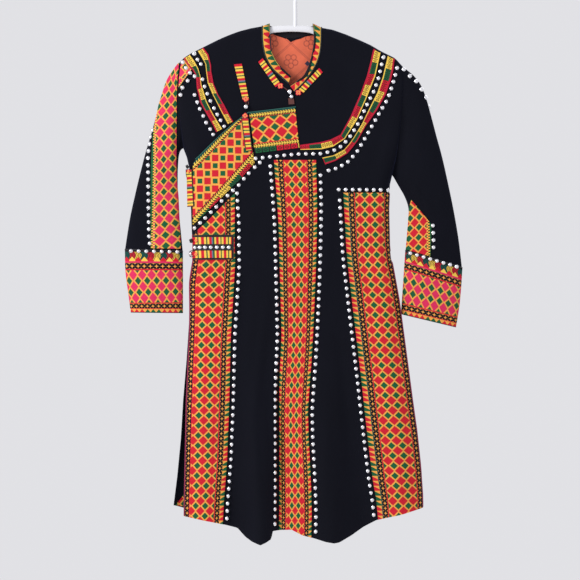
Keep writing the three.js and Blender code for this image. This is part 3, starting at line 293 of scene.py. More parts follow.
def place_at(face, col, row):
    return np.stack([gx(col), face["sign"] * depth_at(face, col, row), gz(row)], axis=-1)


def spread(values, down, across):
    """Fills in a grid of table values, with so many steps to each one of its own."""
    values = np.asarray(values, dtype=float)
    rows, cols = values.shape[:2]
    at_r = np.linspace(0, rows - 1, (rows - 1) * down + 1)
    at_c = np.linspace(0, cols - 1, (cols - 1) * across + 1)
    r0 = np.minimum(at_r.astype(int), rows - 2)
    c0 = np.minimum(at_c.astype(int), cols - 2)
    fr = (at_r - r0)[:, None, None]
    fc = (at_c - c0)[None, :, None]
    top = lerp(values[r0][:, c0], values[r0][:, c0 + 1], fc)
    foot = lerp(values[r0 + 1][:, c0], values[r0 + 1][:, c0 + 1], fc)
    return lerp(top, foot, fr)


# Meshes

def mesh_piece(name, points, faces, finish, uv=None, sharp=50):
    points = np.asarray(points, dtype=float).reshape(-1, 3)
    mesh = bpy.data.meshes.new(name)
    tri = np.array([[f[0], f[i], f[i + 1]] for f in faces for i in range(1, len(f) - 1)])
    a, b, c = points[tri[:, 0]], points[tri[:, 1]], points[tri[:, 2]]
    if np.sum(a * np.cross(b, c)) < 0:
        faces = [tuple(reversed(f)) for f in faces]
    mesh.from_pydata(points.tolist(), [], [tuple(int(i) for i in f) for f in faces])
    mesh.shade_smooth()
    mesh.set_sharp_from_angle(angle=math.radians(sharp))
    if uv is not None:
        layer = mesh.uv_layers.new(name="Cut")
        corner = np.empty(len(mesh.loops), dtype=np.int32)
        mesh.loops.foreach_get("vertex_index", corner)
        layer.data.foreach_set("uv", np.asarray(uv, dtype=np.float32).reshape(-1, 2)[corner].ravel())
    mesh.materials.append(finish)
    piece = bpy.data.objects.new(name, mesh)
    bpy.context.scene.collection.objects.link(piece)
    return piece


def dress(piece, node=None):
    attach(piece, "root")
    if node:
        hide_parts(node)
    return piece


cloth_grids = {}


def shell(name, points, normals, thickness, finish, uv, closed=False, inner_shift=0.0):
    """A cloth of even thickness behind a grid of points, as a sheet or a tube."""
    cloth_grids[name] = points
    down, wide = points.shape[:2]
    inner = points - normals * thickness
    both = np.concatenate([points.reshape(-1, 3), inner.reshape(-1, 3)])
    count = down * wide
    cells = wide if closed else wide - 1
    faces = []
    for r in range(down - 1):
        for c in range(cells):
            d = (c + 1) % wide
            a, b, e, g = r * wide + c, (r + 1) * wide + c, (r + 1) * wide + d, r * wide + d
            faces.append((a, b, e, g))
            faces.append((count + a, count + g, count + e, count + b))
        if not closed:
            a, b = r * wide, (r + 1) * wide
            faces.append((a, count + a, count + b, b))
            a, b = r * wide + wide - 1, (r + 1) * wide + wide - 1
            faces.append((a, b, count + b, count + a))
    for c in range(cells):
        d = (c + 1) % wide
        last = (down - 1) * wide
        faces.append((c, d, count + d, count + c))
        faces.append((last + c, count + last + c, count + last + d, last + d))
    inner_uv = uv.reshape(-1, 2) + np.array([inner_shift, 0])
    return mesh_piece(name, both, faces, finish, np.concatenate([uv.reshape(-1, 2), inner_uv]))


def under_lift(col, row):
    return -1.6 * MM * smooth((row - 160) / 60)


OVER_LIFT = CLOTH + 2 * LAY


def over_lift(col, row):
    side = 1 - smooth((col - 318) / 34)
    above = smooth((row - 50) / 38)
    below = 1 - smooth((row - 262) / 60)
    return OVER_LIFT * side * above * below


def back_lift(col, row):
    return 0 * col


def laid(face, lift_of, places, lift):
    """Points and normals on a panel's outer face, moved out by a lift."""
    col, row = places[..., 0], places[..., 1]
    normals = normal_at(face, col, row)
    points = place_at(face, col, row) + normals * (lift_of(col, row) + lift)[..., None]
    return points, normals


def strip_uv(places, width):
    """A strip's own measure: steps across it, and steps down its middle."""
    across = np.linspace(0, width, places.shape[1])
    return pair(across, run_along(places[:, places.shape[1] // 2])[:, None])


# Finishes

def srgb(*levels):
    """A colour from its red, green and blue levels of 255."""
    shares = [level / 255 for level in levels]
    return tuple(s / 12.92 if s < 0.0405 else ((s + 0.055) / 1.055) ** 2.4 for s in shares) + (1,)


def arithmetic(operation, swapped=False):
    def act(self, *others):
        values = (*others, self) if swapped else (self, *others)
        return self.finish.math(operation, *values)
    return act


class Signal:
    """A socket of a finish's nodes, with arithmetic."""

    def __init__(self, finish, socket):
        self.finish = finish
        self.socket = socket

    __add__ = __radd__ = arithmetic("ADD")
    __sub__ = arithmetic("SUBTRACT")
    __rsub__ = arithmetic("SUBTRACT", swapped=True)
    __mul__ = __rmul__ = arithmetic("MULTIPLY")
    __truediv__ = arithmetic("DIVIDE")
    __lt__ = arithmetic("LESS_THAN")
    __gt__ = arithmetic("GREATER_THAN")
    __abs__ = arithmetic("ABSOLUTE")
    fract = arithmetic("FRACT")
    floor = arithmetic("FLOOR")
    sine = arithmetic("SINE")
    most = arithmetic("MAXIMUM")

    def within(self, low, high):
        return (self > low) * (self < high)

    def off_middle(self):
        """How far a repeat's place is from its middle, 0 to 0.5."""
        return abs(self.fract() - 0.5)


class Finish:
    """One material: its nodes are made by expressions."""

    def __init__(self, name, roughness, sheen=0.0, metallic=0.0, coat=0.0, specular=0.5):
        self.material = bpy.data.materials.new(name)
        self.material.use_nodes = True
        self.tree = self.material.node_tree
        self.shader = next(n for n in self.tree.nodes if n.type == "BSDF_PRINCIPLED")
        constants = {
            "Roughness": roughness, "Sheen Weight": sheen, "Sheen Roughness": 0.45, "Metallic": metallic,
            "Coat Weight": coat, "Coat Roughness": 0.2, "Specular IOR Level": specular,
        }
        for key, value in constants.items():
            self.shader.inputs[key].default_value = value
        cut = self.node("ShaderNodeUVMap", dict(uv_map="Cut"))
        split = self.node("ShaderNodeSeparateXYZ", {}, Vector=cut.outputs[0])
        self.across = Signal(self, split.outputs[0])
        self.down = Signal(self, split.outputs[1])
        self.place = self.node("ShaderNodeTexCoord", {}).outputs["Object"]

    def drafted(self):
        """Columns and rows of a place, read from the mesh itself."""
        split = self.node("ShaderNodeSeparateXYZ", {}, Vector=self.place)
        return Signal(self, split.outputs[0]) / GRID, Signal(self, split.outputs[2]) / -GRID

    def node(self, kind, settings, **inputs):
        """Makes a node. An input is named, or numbered as _0, _1 and so on."""
        made = self.tree.nodes.new(kind)
        for key, value in settings.items():
            setattr(made, key, value)
        for key, value in inputs.items():
            self.feed(made.inputs[int(key[1:]) if key[0] == "_" else key], value)
        return made

    def feed(self, slot, value):
        value = value.socket if isinstance(value, Signal) else value
        if isinstance(value, bpy.types.NodeSocket):
            self.tree.links.new(value, slot)
        else:
            slot.default_value = value[:3] if slot.type == "VECTOR" else value

    def math(self, operation, *values):
        inputs = {f"_{i}": value for i, value in enumerate(values)}
        made = self.node("ShaderNodeMath", dict(operation=operation), **inputs)
        return Signal(self, made.outputs[0])

    def mix(self, amount, first, second):
        made = self.node("ShaderNodeMix", dict(data_type="RGBA"), _0=amount, _6=first, _7=second)
        return made.outputs[2]

    def shade(self, colour, amount):
        """A colour made darker or lighter by a number."""
        made = self.node("ShaderNodeVectorMath", dict(operation="SCALE"), _0=colour, Scale=amount)
        return made.outputs[0]

    def ramp(self, level, *stops):
        """Flat colours, each from its own stop on."""
        made = self.node("ShaderNodeValToRGB", {}, Fac=level)
        band = made.color_ramp
        band.interpolation = "CONSTANT"
        while len(band.elements) < len(stops):
            band.elements.new(0.5)
        for element, (at, colour) in zip(band.elements, stops):
            element.position = at
            element.color = colour
        return made.outputs[0]

    def noise(self, scale, detail=2.0, at=None):
        made = self.node("ShaderNodeTexNoise", {}, Scale=scale, Detail=detail, Vector=at or self.place)
        return Signal(self, made.outputs["Fac"])

    def finish(self, colour, height, bump, reach):
        made = self.node("ShaderNodeBump", {}, Strength=bump, Distance=reach, Height=height)
        self.feed(self.shader.inputs["Base Color"], colour)
        self.feed(self.shader.inputs["Normal"], made.outputs[0])
        return self.material


BLACK = srgb(20, 16, 22)
RED = srgb(188, 26, 44)
DEEP_RED = srgb(168, 24, 50)
PINK = srgb(200, 42, 84)
GOLD = srgb(220, 152, 68)
LEMON = srgb(222, 184, 74)
GREEN = srgb(22, 84, 50)
TEAL = srgb(12, 78, 70)
GREY_BLUE = srgb(104, 104, 128)
MAGENTA = srgb(140, 16, 62)


THREADS = 1.9 * 6.283
REPEAT = 4.95
BROCADE_RELIEF = 0.0004
FINE_RELIEF = 0.0003


def weave(f, colour, height):
    """Thread lines over a brocade's colours, and the relief that they give."""
    warp, weft = ((way * THREADS).sine() * 0.5 for way in (f.across, f.down))
    mottle = f.noise(220, 3)
    broad = f.noise(18, 2)
    tone = warp * weft * 0.2 + mottle * 0.34 + broad * 0.22 + 0.74
    return f.shade(colour, tone), height + warp * weft * 0.35 + mottle * 0.3


def lattice(f, across, down, wide=10.0, tall=10.0, warm=RED, low=0.46, high=0.645, wobble=0.018):
    """Large red and smaller green lozenges in a gold lattice."""
    from_middle = abs((across / wide + 0.5).fract() - 0.5) + abs((down / tall + 0.5).fract() - 0.5)
    level = from_middle + f.noise(500, 1) * (2 * wobble) - wobble
    return f.ramp(level, (0.0, warm), (low, GOLD), (high, GREEN)), level.within(low, high)


def stitched_strip(f, across, width, down, period=REPEAT):
    """A dark strip with a row of small gold lozenges and corner stitches."""
    side = abs(across / width - 0.5)
    along = (down / period).off_middle()
    petal = (side * along * 9 + (side + along) * 0.52) < 0.24
    corner = ((0.5 - side) * (0.5 - along) * 9 + (1 - side - along) * 0.6) < 0.13
    gold = petal.most(corner)
    return f.mix(gold, BLACK, GOLD), gold


def teeth(f, across, width, down, period=REPEAT, flip=False, peaked=False):
    """Red and green teeth on gold, in groups of three."""
    side = across / width
    side = 1 - side if flip else side
    along = (down / period).fract()
    tooth = side < (1 - abs(along - 0.5) * 2 if peaked else along * 1.45)
    group = ((down / (3 * period)).floor() / 2).fract() > 0.25
    return f.mix(tooth, GOLD, f.mix(group, RED, GREEN)), 1 - tooth


def layers(f, across, *parts):
    """Strips side by side on black: each one's low and high edge across, its colour and its relief."""
    colour, relief = BLACK, 0.0
    for low, high, tint, height in parts:
        inside = across.within(low, high)
        colour = f.mix(inside, colour, tint)
        relief = inside * height + (1 - inside) * relief
    return colour, relief


def velveteen():
    f = Finish("velveteen", 0.88, sheen=0.2, specular=0.12)
    f.shader.inputs["Sheen Tint"].default_value = srgb(84, 92, 150)
    nap = f.noise(900, 4)
    broad = f.noise(9, 3)
    dust = f.noise(2600, 0) > 0.79
    tone = nap * 0.5 + broad * 0.5 + 0.5
    colour = f.shade(f.mix(dust * 0.2, srgb(8, 9, 18), srgb(54, 56, 72)), tone)
    return f.finish(colour, nap, 0.25, FINE_RELIEF)


def band(name, parts_of):
    f = Finish(name, 0.7, specular=0.15)
    colour, relief = parts_of(f, f.across, f.down)
    colour, relief = weave(f, colour, relief)
    return f.finish(colour, relief, 0.45, BROCADE_RELIEF)


def right_parts(f, u, v):
    return layers(
        f, u, (3.2, 8.8, *teeth(f, u - 3.2, 5.6, v)), (8.8, 9.6, TEAL, 0.5),
        (9.8, 14.6, *stitched_strip(f, u - 9.8, 4.8, v)), (14.6, 15.6, RED, 0.6),
        (15.6, 44.4, *lattice(f, u - 30.1, v)), (44.4, 45.2, RED, 0.6),
        (45.2, 49.3, *stitched_strip(f, u - 45.2, 4.4, v)), (49.3, 60, MAGENTA, 0.5))


def left_parts(f, u, v):
    return layers(
        f, u, (-5, 1.0, MAGENTA, 0.5), (1.2, 5.4, *stitched_strip(f, u - 1.2, 4.8, v)), (5.4, 6.2, RED, 0.6),
        (6.2, 32.4, *lattice(f, u - 17.9, v)), (32.4, 33.4, RED, 0.6),
        (33.4, 38.0, *stitched_strip(f, u - 33.4, 4.6, v)),
        (38.4, 43.4, *teeth(f, u - 38.4, 5.0, v, flip=True)))


def centre_parts(f, u, v):
    return layers(
        f, u, (2.8, 8.0, *teeth(f, u - 2.8, 5.2, v)), (8.6, 13.2, *stitched_strip(f, u - 8.6, 4.6, v)),
        (13.2, 14.2, RED, 0.6), (14.2, 39.8, *lattice(f, u - 27.0, v)), (39.8, 40.8, RED, 0.6),
        (40.8, 45.4, *stitched_strip(f, u - 40.8, 4.6, v)),
        (46.0, 51.2, *teeth(f, u - 46.0, 5.2, v, flip=True)))


def cuff_parts(f, u, v):
    lean = u + (v * 0.7).sine() * 0.9
    pick = ((lean / 6.1).floor() / 3).fract()
    braid = f.mix(pick > 0.2, TEAL, f.mix(pick > 0.5, RED, LEMON))
    lobe = (lean / 1.5).off_middle() < 0.3
    lower = (abs((u / 6.1).fract() - 0.5) * 6 + 8) < v
    braid = f.mix(lower, f.mix(lobe, BLACK, braid), f.mix((u / 12.2).fract() > 0.5, RED, LEMON))
    return layers(
        f, v, (-4, 3.0, BLACK, 0.2), (3.0, 11.8, braid, lobe), (11.8, 13.2, PINK, 0.7),
        (13.4, 18.2, *stitched_strip(f, v - 13.6, 4.6, u, 6)), (18.2, 19.4, RED, 0.6),
        (19.4, 50.6, *lattice(f, u, v - 34.9, 9.3, 11.2, PINK)), (50.6, 51.6, RED, 0.6),
        (51.6, 56.4, *stitched_strip(f, v - 51.8, 4.6, u, 6)), (56.4, 57.2, RED, 0.6),
        (57.2, 61.8, *teeth(f, v - 57.2, 4.6, u, 6, flip=True, peaked=True)), (61.8, 70, BLACK, 0.2))


def blocks(f, across, width, down, period=3.9, tints=(LEMON, GREEN, RED)):
    """Embroidered squares in threes, each with a dark ring of stitches."""
    along = (down / period).fract()
    side = across / width
    group = ((down / (3 * period)).floor() / 3).fract()
    tint = f.mix(group > 0.2, tints[0], f.mix(group > 0.5, tints[1], tints[2]))
    gap = along < 0.14
    eye = abs(abs(along - 0.56) + abs(side - 0.5) * 0.9 - 0.26) < 0.075
    return f.mix(gap.most(eye), tint, BLACK), 1 - gap.most(eye)


def ribbon_parts(f, u, v):
    return layers(
        f, u, (-1, 0.2, DEEP_RED, 0.7), (0.2, 0.8, *blocks(f, u - 0.2, 0.6, v)), (0.8, 0.92, LEMON, 0.9))


def turned_ribbon_parts(f, u, v):
    return ribbon_parts(f, 1 - u, v)


def cross_row(f, across, width, down, period=2.6):
    """Gold herringbone stitches on the dark cloth."""
    side = abs(across / width - 0.5) * 2
    lean = ((down / period) + side * 0.5).fract()
    thread = (lean < 0.46).most(side < 0.22)
    return f.mix(thread, BLACK, LEMON), thread


def flap_head(f, u, v):
    """A dashed line's colour, and a flap's upper edge: a plain edge, crosses and the dashed line."""
    dash = f.mix((u / 2.3).fract() < 0.5, BLACK, RED)
    return dash, [(-4, 1.4, TEAL, 0.8), (1.4, 5.2, *cross_row(f, v - 1.6, 3.6, u)), (5.2, 6.2, dash, 0.5)]


def flap_a_parts(f, u, v):
    _, head = flap_head(f, u, v)
    return layers(
        f, v, *head, (6.2, 32.2, *lattice(f, u - 5.0, v - 12.6, 12.2, 11.5)), (32.2, 33.0, RED, 0.5),
        (33.0, 36.6, *cross_row(f, v - 33.2, 3.4, u)),
        (36.6, 42.0, *blocks(f, v - 37.0, 4.6, u, 7.2, (GREEN, RED, LEMON))))


def flap_b_parts(f, u, v):
    dash, head = flap_head(f, u, v)
    right, below = f.drafted()
    upright = lattice(f, right + below, below - right, 15.3, 15.3, RED, 0.42, 0.68)
    return layers(
        f, v, *head, (6.2, 37.0, *upright), (37.0, 38.2, dash, 0.5),
        (38.2, 42.0, *cross_row(f, v - 38.2, 3.6, u)),
        (42.2, 60, *blocks(f, v - 42.2, 5.4, u, 5.0, (GREEN, LEMON, RED))))


def sleeve_parts(f, u, v):
    field, field_up = lattice(f, u, v - 88.6, 10, 10.8, PINK)
    step = (v / 2.7).fract() < 0.5
    trimmed = (v > 112) * 1.0
    trim = f.mix(u > -17.4, GREEN, f.mix(u > -16, f.mix(step, LEMON, BLACK), f.mix(step, PINK, LEMON)))
    return f.mix((u < -14.3) * trimmed, field, trim), field_up


# Painted shade: the right sleeve band's lozenges and trim steps are red where the left sleeve band's are
# pink, a darker red standing for the shade on the right sleeve
def sleeve_right_shaded_parts(f, u, v):
    step = (v / 2.7).fract() < 0.5
    return layers(
        f, u, (-40, 13.6, *lattice(f, u, v - 212.5, 10, 10.2, RED)),
        (13.6, 15.2, f.mix(step, RED, LEMON), 0.7), (15.2, 17, f.mix(step, LEMON, BLACK), 0.7),
        (17, 40, GREEN, 0.6))


def shoulder_parts(f, u, v):
    field, field_up = lattice(f, u - 180.8, v - 72.5, 9, 10.4, PINK)
    edge = (u - 179.6) / 12.2 + (v - 70.2) / 17.4
    step = ((u - v) / 3.2).fract() < 0.5
    trim = f.mix(edge > 0.93, f.mix(step, LEMON, PINK), GREEN)
    return f.mix(edge > 0.8, field, trim), field_up


def collar_parts(f, u, v):
    return layers(
        f, u, (-2, 0.5, LEMON, 0.6), (0.5, 7.2, *teeth(f, u - 0.5, 6.7, v, 6.2)), (7.2, 7.9, LEMON, 0.8),
        (7.9, 60, BLACK, 0.3))


def stripe_parts(f, u, v):
    colour = f.ramp(
        (v / 21.5).fract(), (0.0, RED), (0.12, LEMON), (0.2, GREEN), (0.25, LEMON), (0.34, RED),
        (0.46, LEMON), (0.54, GREEN), (0.59, LEMON), (0.68, RED), (0.79, GREY_BLUE), (0.85, GREEN),
        (0.92, LEMON))
    return colour, (v / 2.2).sine() * 0.3 + 0.5


def lining_finish():
    f = Finish("back_lining", 0.55, sheen=0.1, specular=0.35)
    u, v = f.across, f.down
    ink = None
    for turn in range(5):
        angle = math.radians(90 + 72 * turn)
        for middle in ((0.0, 0.0), (20.0, -19.0), (-20.0, -19.0)):
            off_u = u - (middle[0] + 4.6 * math.cos(angle))
            off_v = v - (middle[1] + 4.6 * math.sin(angle))
            ring = abs((off_u * off_u + off_v * off_v) / 9.0 - 0.8) < 0.22
            ink = ring if ink is None else ink.most(ring)
    for slope in (0.9, -0.9):
        for offset in (0.0, 1.7):
            line = ((u * slope + v + 17.0 + offset) / 38.0).off_middle() > 0.492
            ink = ink.most(line)
    lozenge = (abs(u - 16.5) + abs(v - 2.5)) < 2.8
    cloud = f.noise(40, 3)
    base = f.shade(srgb(212, 98, 66), cloud * 0.5 + 0.72)
    colour = f.mix(ink * 0.75, base, srgb(120, 46, 40))
    colour = f.mix(lozenge, colour, srgb(46, 36, 60))
    return f.finish(colour, f.noise(600, 2), 0.2, FINE_RELIEF)


def plain(name, colour, roughness, sheen=0.0, metallic=0.0, scale=500, bump=0.25, coat=0.0, mottle=0.3):
    f = Finish(name, roughness, sheen, metallic, coat)
    grain = f.noise(scale, 3)
    return f.finish(f.shade(colour, grain * mottle + (1 - mottle / 2)), grain, bump, FINE_RELIEF)


def twisted(name, colour, other, pitch):
    """A corded edge: its twist runs round it in two tones."""
    f = Finish(name, 0.7, sheen=0.1)
    lay = ((f.down / pitch) + f.across).fract()
    ridge = abs(lay - 0.5) * 2
    return f.finish(f.mix(lay < 0.5, colour, other), ridge, 0.5, BROCADE_RELIEF)


velvet = velveteen()
right_brocade = band("brocade_right_band", right_parts)
left_brocade = band("brocade_left_band", left_parts)
centre_brocade = band("brocade_centre_band", centre_parts)
cuff_brocade = band("brocade_cuffs", cuff_parts)
flap_a_brocade = band("brocade_flap_a", flap_a_parts)
flap_b_brocade = band("brocade_flap_b", flap_b_parts)
sleeve_brocade = band("brocade_sleeve_left", sleeve_parts)
# Painted shade: the right sleeve band's brocade is a darker, redder copy of the left sleeve band's colours
sleeve_right_shaded_brocade = band("brocade_sleeve_right_painted_shade", sleeve_right_shaded_parts)
shoulder_brocade = band("brocade_shoulder_corner", shoulder_parts)
collar_brocade = band("brocade_collar", collar_parts)
ribbon_near = band("ribbon_red_first", ribbon_parts)
ribbon_far = band("ribbon_red_last", turned_ribbon_parts)
stripe = band("striped_ribbon", stripe_parts)
lining = lining_finish()
silver = plain("stud_metal", srgb(236, 236, 240), 0.24, metallic=1.0, scale=300, bump=0.05, mottle=0.08)
black_cord = plain("black_cord", srgb(18, 17, 22), 0.75, sheen=0.2, scale=700)
brown_cord = plain("brown_cord", srgb(84, 36, 30), 0.7, sheen=0.2, scale=700)
green_cord = twisted("green_cord", srgb(16, 96, 82), srgb(10, 60, 56), 1.6)
magenta_cord = twisted("magenta_piping", srgb(156, 28, 78), srgb(112, 18, 58), 1.4)
petal_thread = plain("petal_thread", srgb(214, 40, 66), 0.6, scale=900)
petal_gold = plain("petal_gold", srgb(244, 200, 80), 0.6, scale=900)
hanger_plastic = plain(
    "hanger_plastic", srgb(214, 214, 218), 0.32, scale=60, bump=0.04, coat=0.15, mottle=0.03)

# Panels

CLOSING_STEPS = np.array([0, 4, 9, 17])
BOW_ROWS = 7


def between(first, last):
    """Lines of a grid, each from a place of one edge to the same place of another."""
    return [list(ends) for ends in zip(first["col"], first["row"], last["col"], last["row"])]


def under_places():
    hidden = [
        [186.5, 157, 301, 96], [189, 168, 303, 112], [190, 182, 300, 135], [190.5, 205, 285, 168],
        [191.3, 230, 262, 205], [193, 259, 246, 259],
    ]
    top = between(armhole_left, neck_left)
    places = []
    for i, (lc, lr, rc, rr) in enumerate(top + hidden):
        near = CLOSING_STEPS / (rc - lc)
        shares = np.concatenate([near, lerp(near[3], 1, np.array([0.3, 0.6, 0.85, 1]))])
        bow = read(shoulder_line, "row", lerp(184, 262, shares), "col") - lerp(57, 25.5, shares)
        cols = lerp(lc, rc, shares)
        places.append(pair(cols, lerp(lr, rr, shares) + bow * (1 - smooth(i / BOW_ROWS))))
    return np.array(places)


BAND_LINES = "bandL ctrL ctrR bandR"
band_stops = table("row " + BAND_LINES, [
    [163, 236, 270, 320, 338.5], [200, 237.5, 273, 321, 339.4], [225, 239.2, 274.6, 321, 341],
    [245, 239, 275.2, 320.5, 341.9], [265, 239.5, 275.7, 320, 343.5], [285, 238.2, 276.2, 319.2, 346],
    [310, 236.7, 276.9, 318.2, 348.8], [335, 235.1, 277.5, 317, 351.8], [360, 234.4, 276.5, 315.6, 354.8],
    [385, 233.9, 275.4, 313.7, 357.7], [410, 233.2, 275, 312, 360.4], [435, 232.1, 275, 312.6, 363.3],
    [460, 231.1, 275, 314.1, 366.3], [480, 229.5, 275, 315.2, 368.7], [500, 227.9, 274.9, 315.8, 372],
    [540, 226, 274.5, 315, 375.5],
])


def stops(row, left, right):
    band_l, ctr_l, ctr_r, band_r = (float(read(band_stops, key, row)) for key in BAND_LINES.split())

    def split(a, b, parts):
        return [lerp(a, b, (i + 1) / parts) for i in range(parts - 1)]

    seam = float(seam_left(row)) if row < SEAM_END_ROW else left
    return [
        left, seam + 9, seam + 17, band_l - STRIP, band_l + STRIP,
        *split(band_l + STRIP, ctr_l - STRIP, 4), ctr_l - STRIP, ctr_l + STRIP,
        *split(ctr_l + STRIP, ctr_r - STRIP, 2), ctr_r - STRIP, ctr_r + STRIP,
        *split(ctr_r + STRIP, band_r - STRIP, 3), band_r - STRIP, band_r + STRIP,
        right - 17, right - 9, right - 4, right,
    ]


MAIN_COLS = len(stops(300, 190, 399))
BAND_R_INDEX = MAIN_COLS - 6
DIAGONAL_FOOT = 195


def hemmed(places, hem=front_hem, flat=MAIN_HEM):
    """Lets the lower rows of a skirt's places down to its curved hem."""
    col, row = places[..., 0], places[..., 1]
    share = clamp01((row - LET_DOWN_ROW) / (flat - LET_DOWN_ROW))
    return pair(col, row + (read(hem, "row", col, "col") - flat) * share ** 1.5)


main_slant = [
    [296, 107, 390.3, 184], [248, 113, 389.4, 194], [230, 127, 389, 202], [212, 144, 388.8, 207],
    [206, 150.2, 388.8, 209.5], [200, 156.4, 388.8, 212], [196.4, 160, 388.8, 214], [193.2, 163, 388.8, 216],
    [193.6, 182, 389, 224], [193.4, 203, 389.3, 232], [193.9, 224, 389.6, 240],
]
MAIN_FLAT_ROWS = [245, 262, 285, 310, 335, 360, 385, 410, 435, 460, 480, 500, 522]


def skirt_line(row):
    return stops(row, float(read(front_edge_left, "col", row)), float(read(front_edge_right, "col", row)))


def main_places():
    places = []
    for i in range(len(neck_right["col"])):
        nc, nr = neck_right["col"][i], neck_right["row"][i]
        ac, ar = armhole_right["col"][i], armhole_right["row"][i]
        near = [ac - s for s in (17, 9, 4, 0)]
        far = [lerp(nc, near[0], k / (MAIN_COLS - 4)) for k in range(MAIN_COLS - 4)]
        cols = np.array(far + near)
        s = (cols - nc) / (ac - nc)
        bow = read(shoulder_line, "row", lerp(322, 403, s), "col") - lerp(27, 66, s)
        places.append(pair(cols, lerp(nr, ar, s) + bow * (1 - smooth(i / BOW_ROWS))))
    for lc, lr, rc, rr in main_slant:
        def row_at(col):
            return lerp(lr, rr, clamp01((col - lc) / (rc - lc)))
        exact = []
        for k in range(MAIN_COLS):
            col = lerp(lc, rc, k / (MAIN_COLS - 1))
            for _ in range(6):
                col = stops(row_at(col), lc, rc)[k]
            exact.append(col)
        if lc > DIAGONAL_FOOT:
            first = exact[BAND_R_INDEX]
            for k in range(BAND_R_INDEX):
                exact[k] = lerp(lc, first, k / BAND_R_INDEX)
        places.append(pair(np.array(exact), row_at(np.array(exact))))
    places += [pair(skirt_line(row), float(row)) for row in MAIN_FLAT_ROWS]
    return np.array(places)


back_shares = np.array([
    0, 0.02, 0.045, 0.085, 0.16, 0.26, 0.356, 0.3626, 0.41, 0.46, 0.5, 0.54, 0.585, 0.6237, 0.63, 0.72, 0.82,
    0.9, 0.95, 0.98, 1,
])
BACK_FLAT_ROWS = [259, 285, 320, 360, 400, 440, 480, 512]


def in_neck(col):
    return (col > neck_back["col"][0]) & (col < neck_back["col"][-1])


def back_places():
    seams = [
        [186.5, 157, 390.3, 184], [189, 168, 389.4, 194], [190, 182, 388.9, 206], [190.5, 205, 388.8, 220],
        [191.5, 232, 389.5, 240],
    ]
    top = between(armhole_left, armhole_right)
    places = []
    for i, (lc, lr, rc, rr) in enumerate(top + seams):
        cols = lerp(lc, rc, back_shares)
        neck, shoulder = (read(edge, "row", cols, "col") for edge in (neck_back, shoulder_line))
        crown = np.where(in_neck(cols), neck, shoulder) - lerp(57, 66, back_shares)
        places.append(pair(cols, lerp(lr, rr, back_shares) + crown * (1 - smooth(i / (len(top) + 1)))))
    for row in BACK_FLAT_ROWS:
        places.append(pair(lerp(float(seam_left(row)), float(back_right(row)), back_shares), float(row)))
    return np.array(places)


def flatten(normal, axis):
    normal = normal.copy()
    normal[..., axis] = 0
    lost = np.linalg.norm(normal, axis=-1, keepdims=True) < 0.05
    return unit(np.where(lost, np.array([0, 0, 1.0]), normal))


ARM_ROWS = len(armhole_left["col"])


def trim_under(n, g):
    n[0] = flatten(n[0], 1)
    n[:ARM_ROWS - 1, 0] = flatten(n[:ARM_ROWS - 1, 0], 0)
    n[ARM_ROWS - 1:, 0] = flatten(n[ARM_ROWS - 1:, 0], 1)
    n[1:ARM_ROWS, -1] = flatten(n[1:ARM_ROWS, -1], 0)
    return n


def trim_main(n, g):
    n[0] = flatten(n[0], 1)
    n[:ARM_ROWS - 1, -1] = flatten(n[:ARM_ROWS - 1, -1], 0)
    seam = (np.arange(len(n)) >= ARM_ROWS - 1) & (g[:, -1, 1] < SEAM_END_ROW + 1)
    n[seam, -1] = flatten(n[seam, -1], 1)
    n[1:ARM_ROWS, 0] = flatten(n[1:ARM_ROWS, 0], 0)
    return n


def trim_back(n, g):
    shoulder = ~in_neck(g[0, :, 0])
    n[0, shoulder] = flatten(n[0, shoulder], 1)
    for side in (0, -1):
        n[:ARM_ROWS - 1, side] = flatten(n[:ARM_ROWS - 1, side], 0)
        seam = (np.arange(len(n)) >= ARM_ROWS - 1) & (g[:, side, 1] < SEAM_END_ROW)
        n[seam, side] = flatten(n[seam, side], 1)
    return n


def panel(name, face, places, lift_of, trim, down, across, node, hem=None):
    """One velveteen panel: its table's grid filled in, on the body's form."""
    coarse = trim(normal_at(face, places[..., 0], places[..., 1]), places)
    fine = spread(places, down, across)
    fine = hemmed(fine, *hem) if hem else fine
    normals = unit(spread(coarse, down, across))
    col, row = fine[..., 0], fine[..., 1]
    points = place_at(face, col, row) + normals * lift_of(col, row)[..., None]
    return dress(shell(name, points, normals, CLOTH, velvet, fine), node)


under_panel = panel("under_layer", front, under_places(), under_lift, trim_under, 6, 7, "front_under")
main_panel = panel(
    "over_layer", front, main_places(), over_lift, trim_main, 5, 7, "front_main", (front_hem, MAIN_HEM))
back_panel = panel(
    "back_panel", back, back_places(), back_lift, trim_back, 6, 5, "back", (back_hem, BACK_HEM))

# Pieces laid on the panels

def applique(name, lift_of, places, lift, finish, uv, node=None, thickness=BROCADE, face=front):
    points, normals = laid(face, lift_of, places, lift)
    return dress(shell(name, points, normals, thickness, finish, uv), node)


INNER_LAY = -(CLOTH + LAY)
LINING_MIDDLE = np.array([291, 60])
CORNER_START = np.array([160, 0])
lining_cols = np.linspace(268, 318, 41)
lining_edge = table("col row", [
    [268, 33], [274, 33.6], [281, 35.8], [287, 38], [291, 41.2], [295, 39.2], [302, 37.6], [307, 35.4],
    [318, 34],
])
own_top, neck_top = (read(edge, "row", lining_cols, "col") for edge in (lining_edge, neck_back))
lining_top = np.maximum(own_top, neck_top + 1.2)
lining_places = np.stack([
    pair(lining_cols + (290 - lining_cols) * 0.08 * (1 - k), lerp(lining_top, 87.0, k))
    for k in np.linspace(0, 1, 31)])
lining_piece = applique(
    "neck_lining_cloth", back_lift, lining_places, INNER_LAY, lining, lining_places - LINING_MIDDLE,
    "neck_lining", face=back)
corner_places = np.stack([
    pair(np.linspace(left, 185, 9), np.linspace(row, foot, 9))
    for left, row, foot in ((184, 494, 494), (181, 498, 498.4), (177.4, 502.4, 503), (173.8, 506, 508.2))])
back_corner = applique(
    "inner_back_corner", back_lift, corner_places, INNER_LAY, left_brocade, corner_places - CORNER_START,
    face=back)


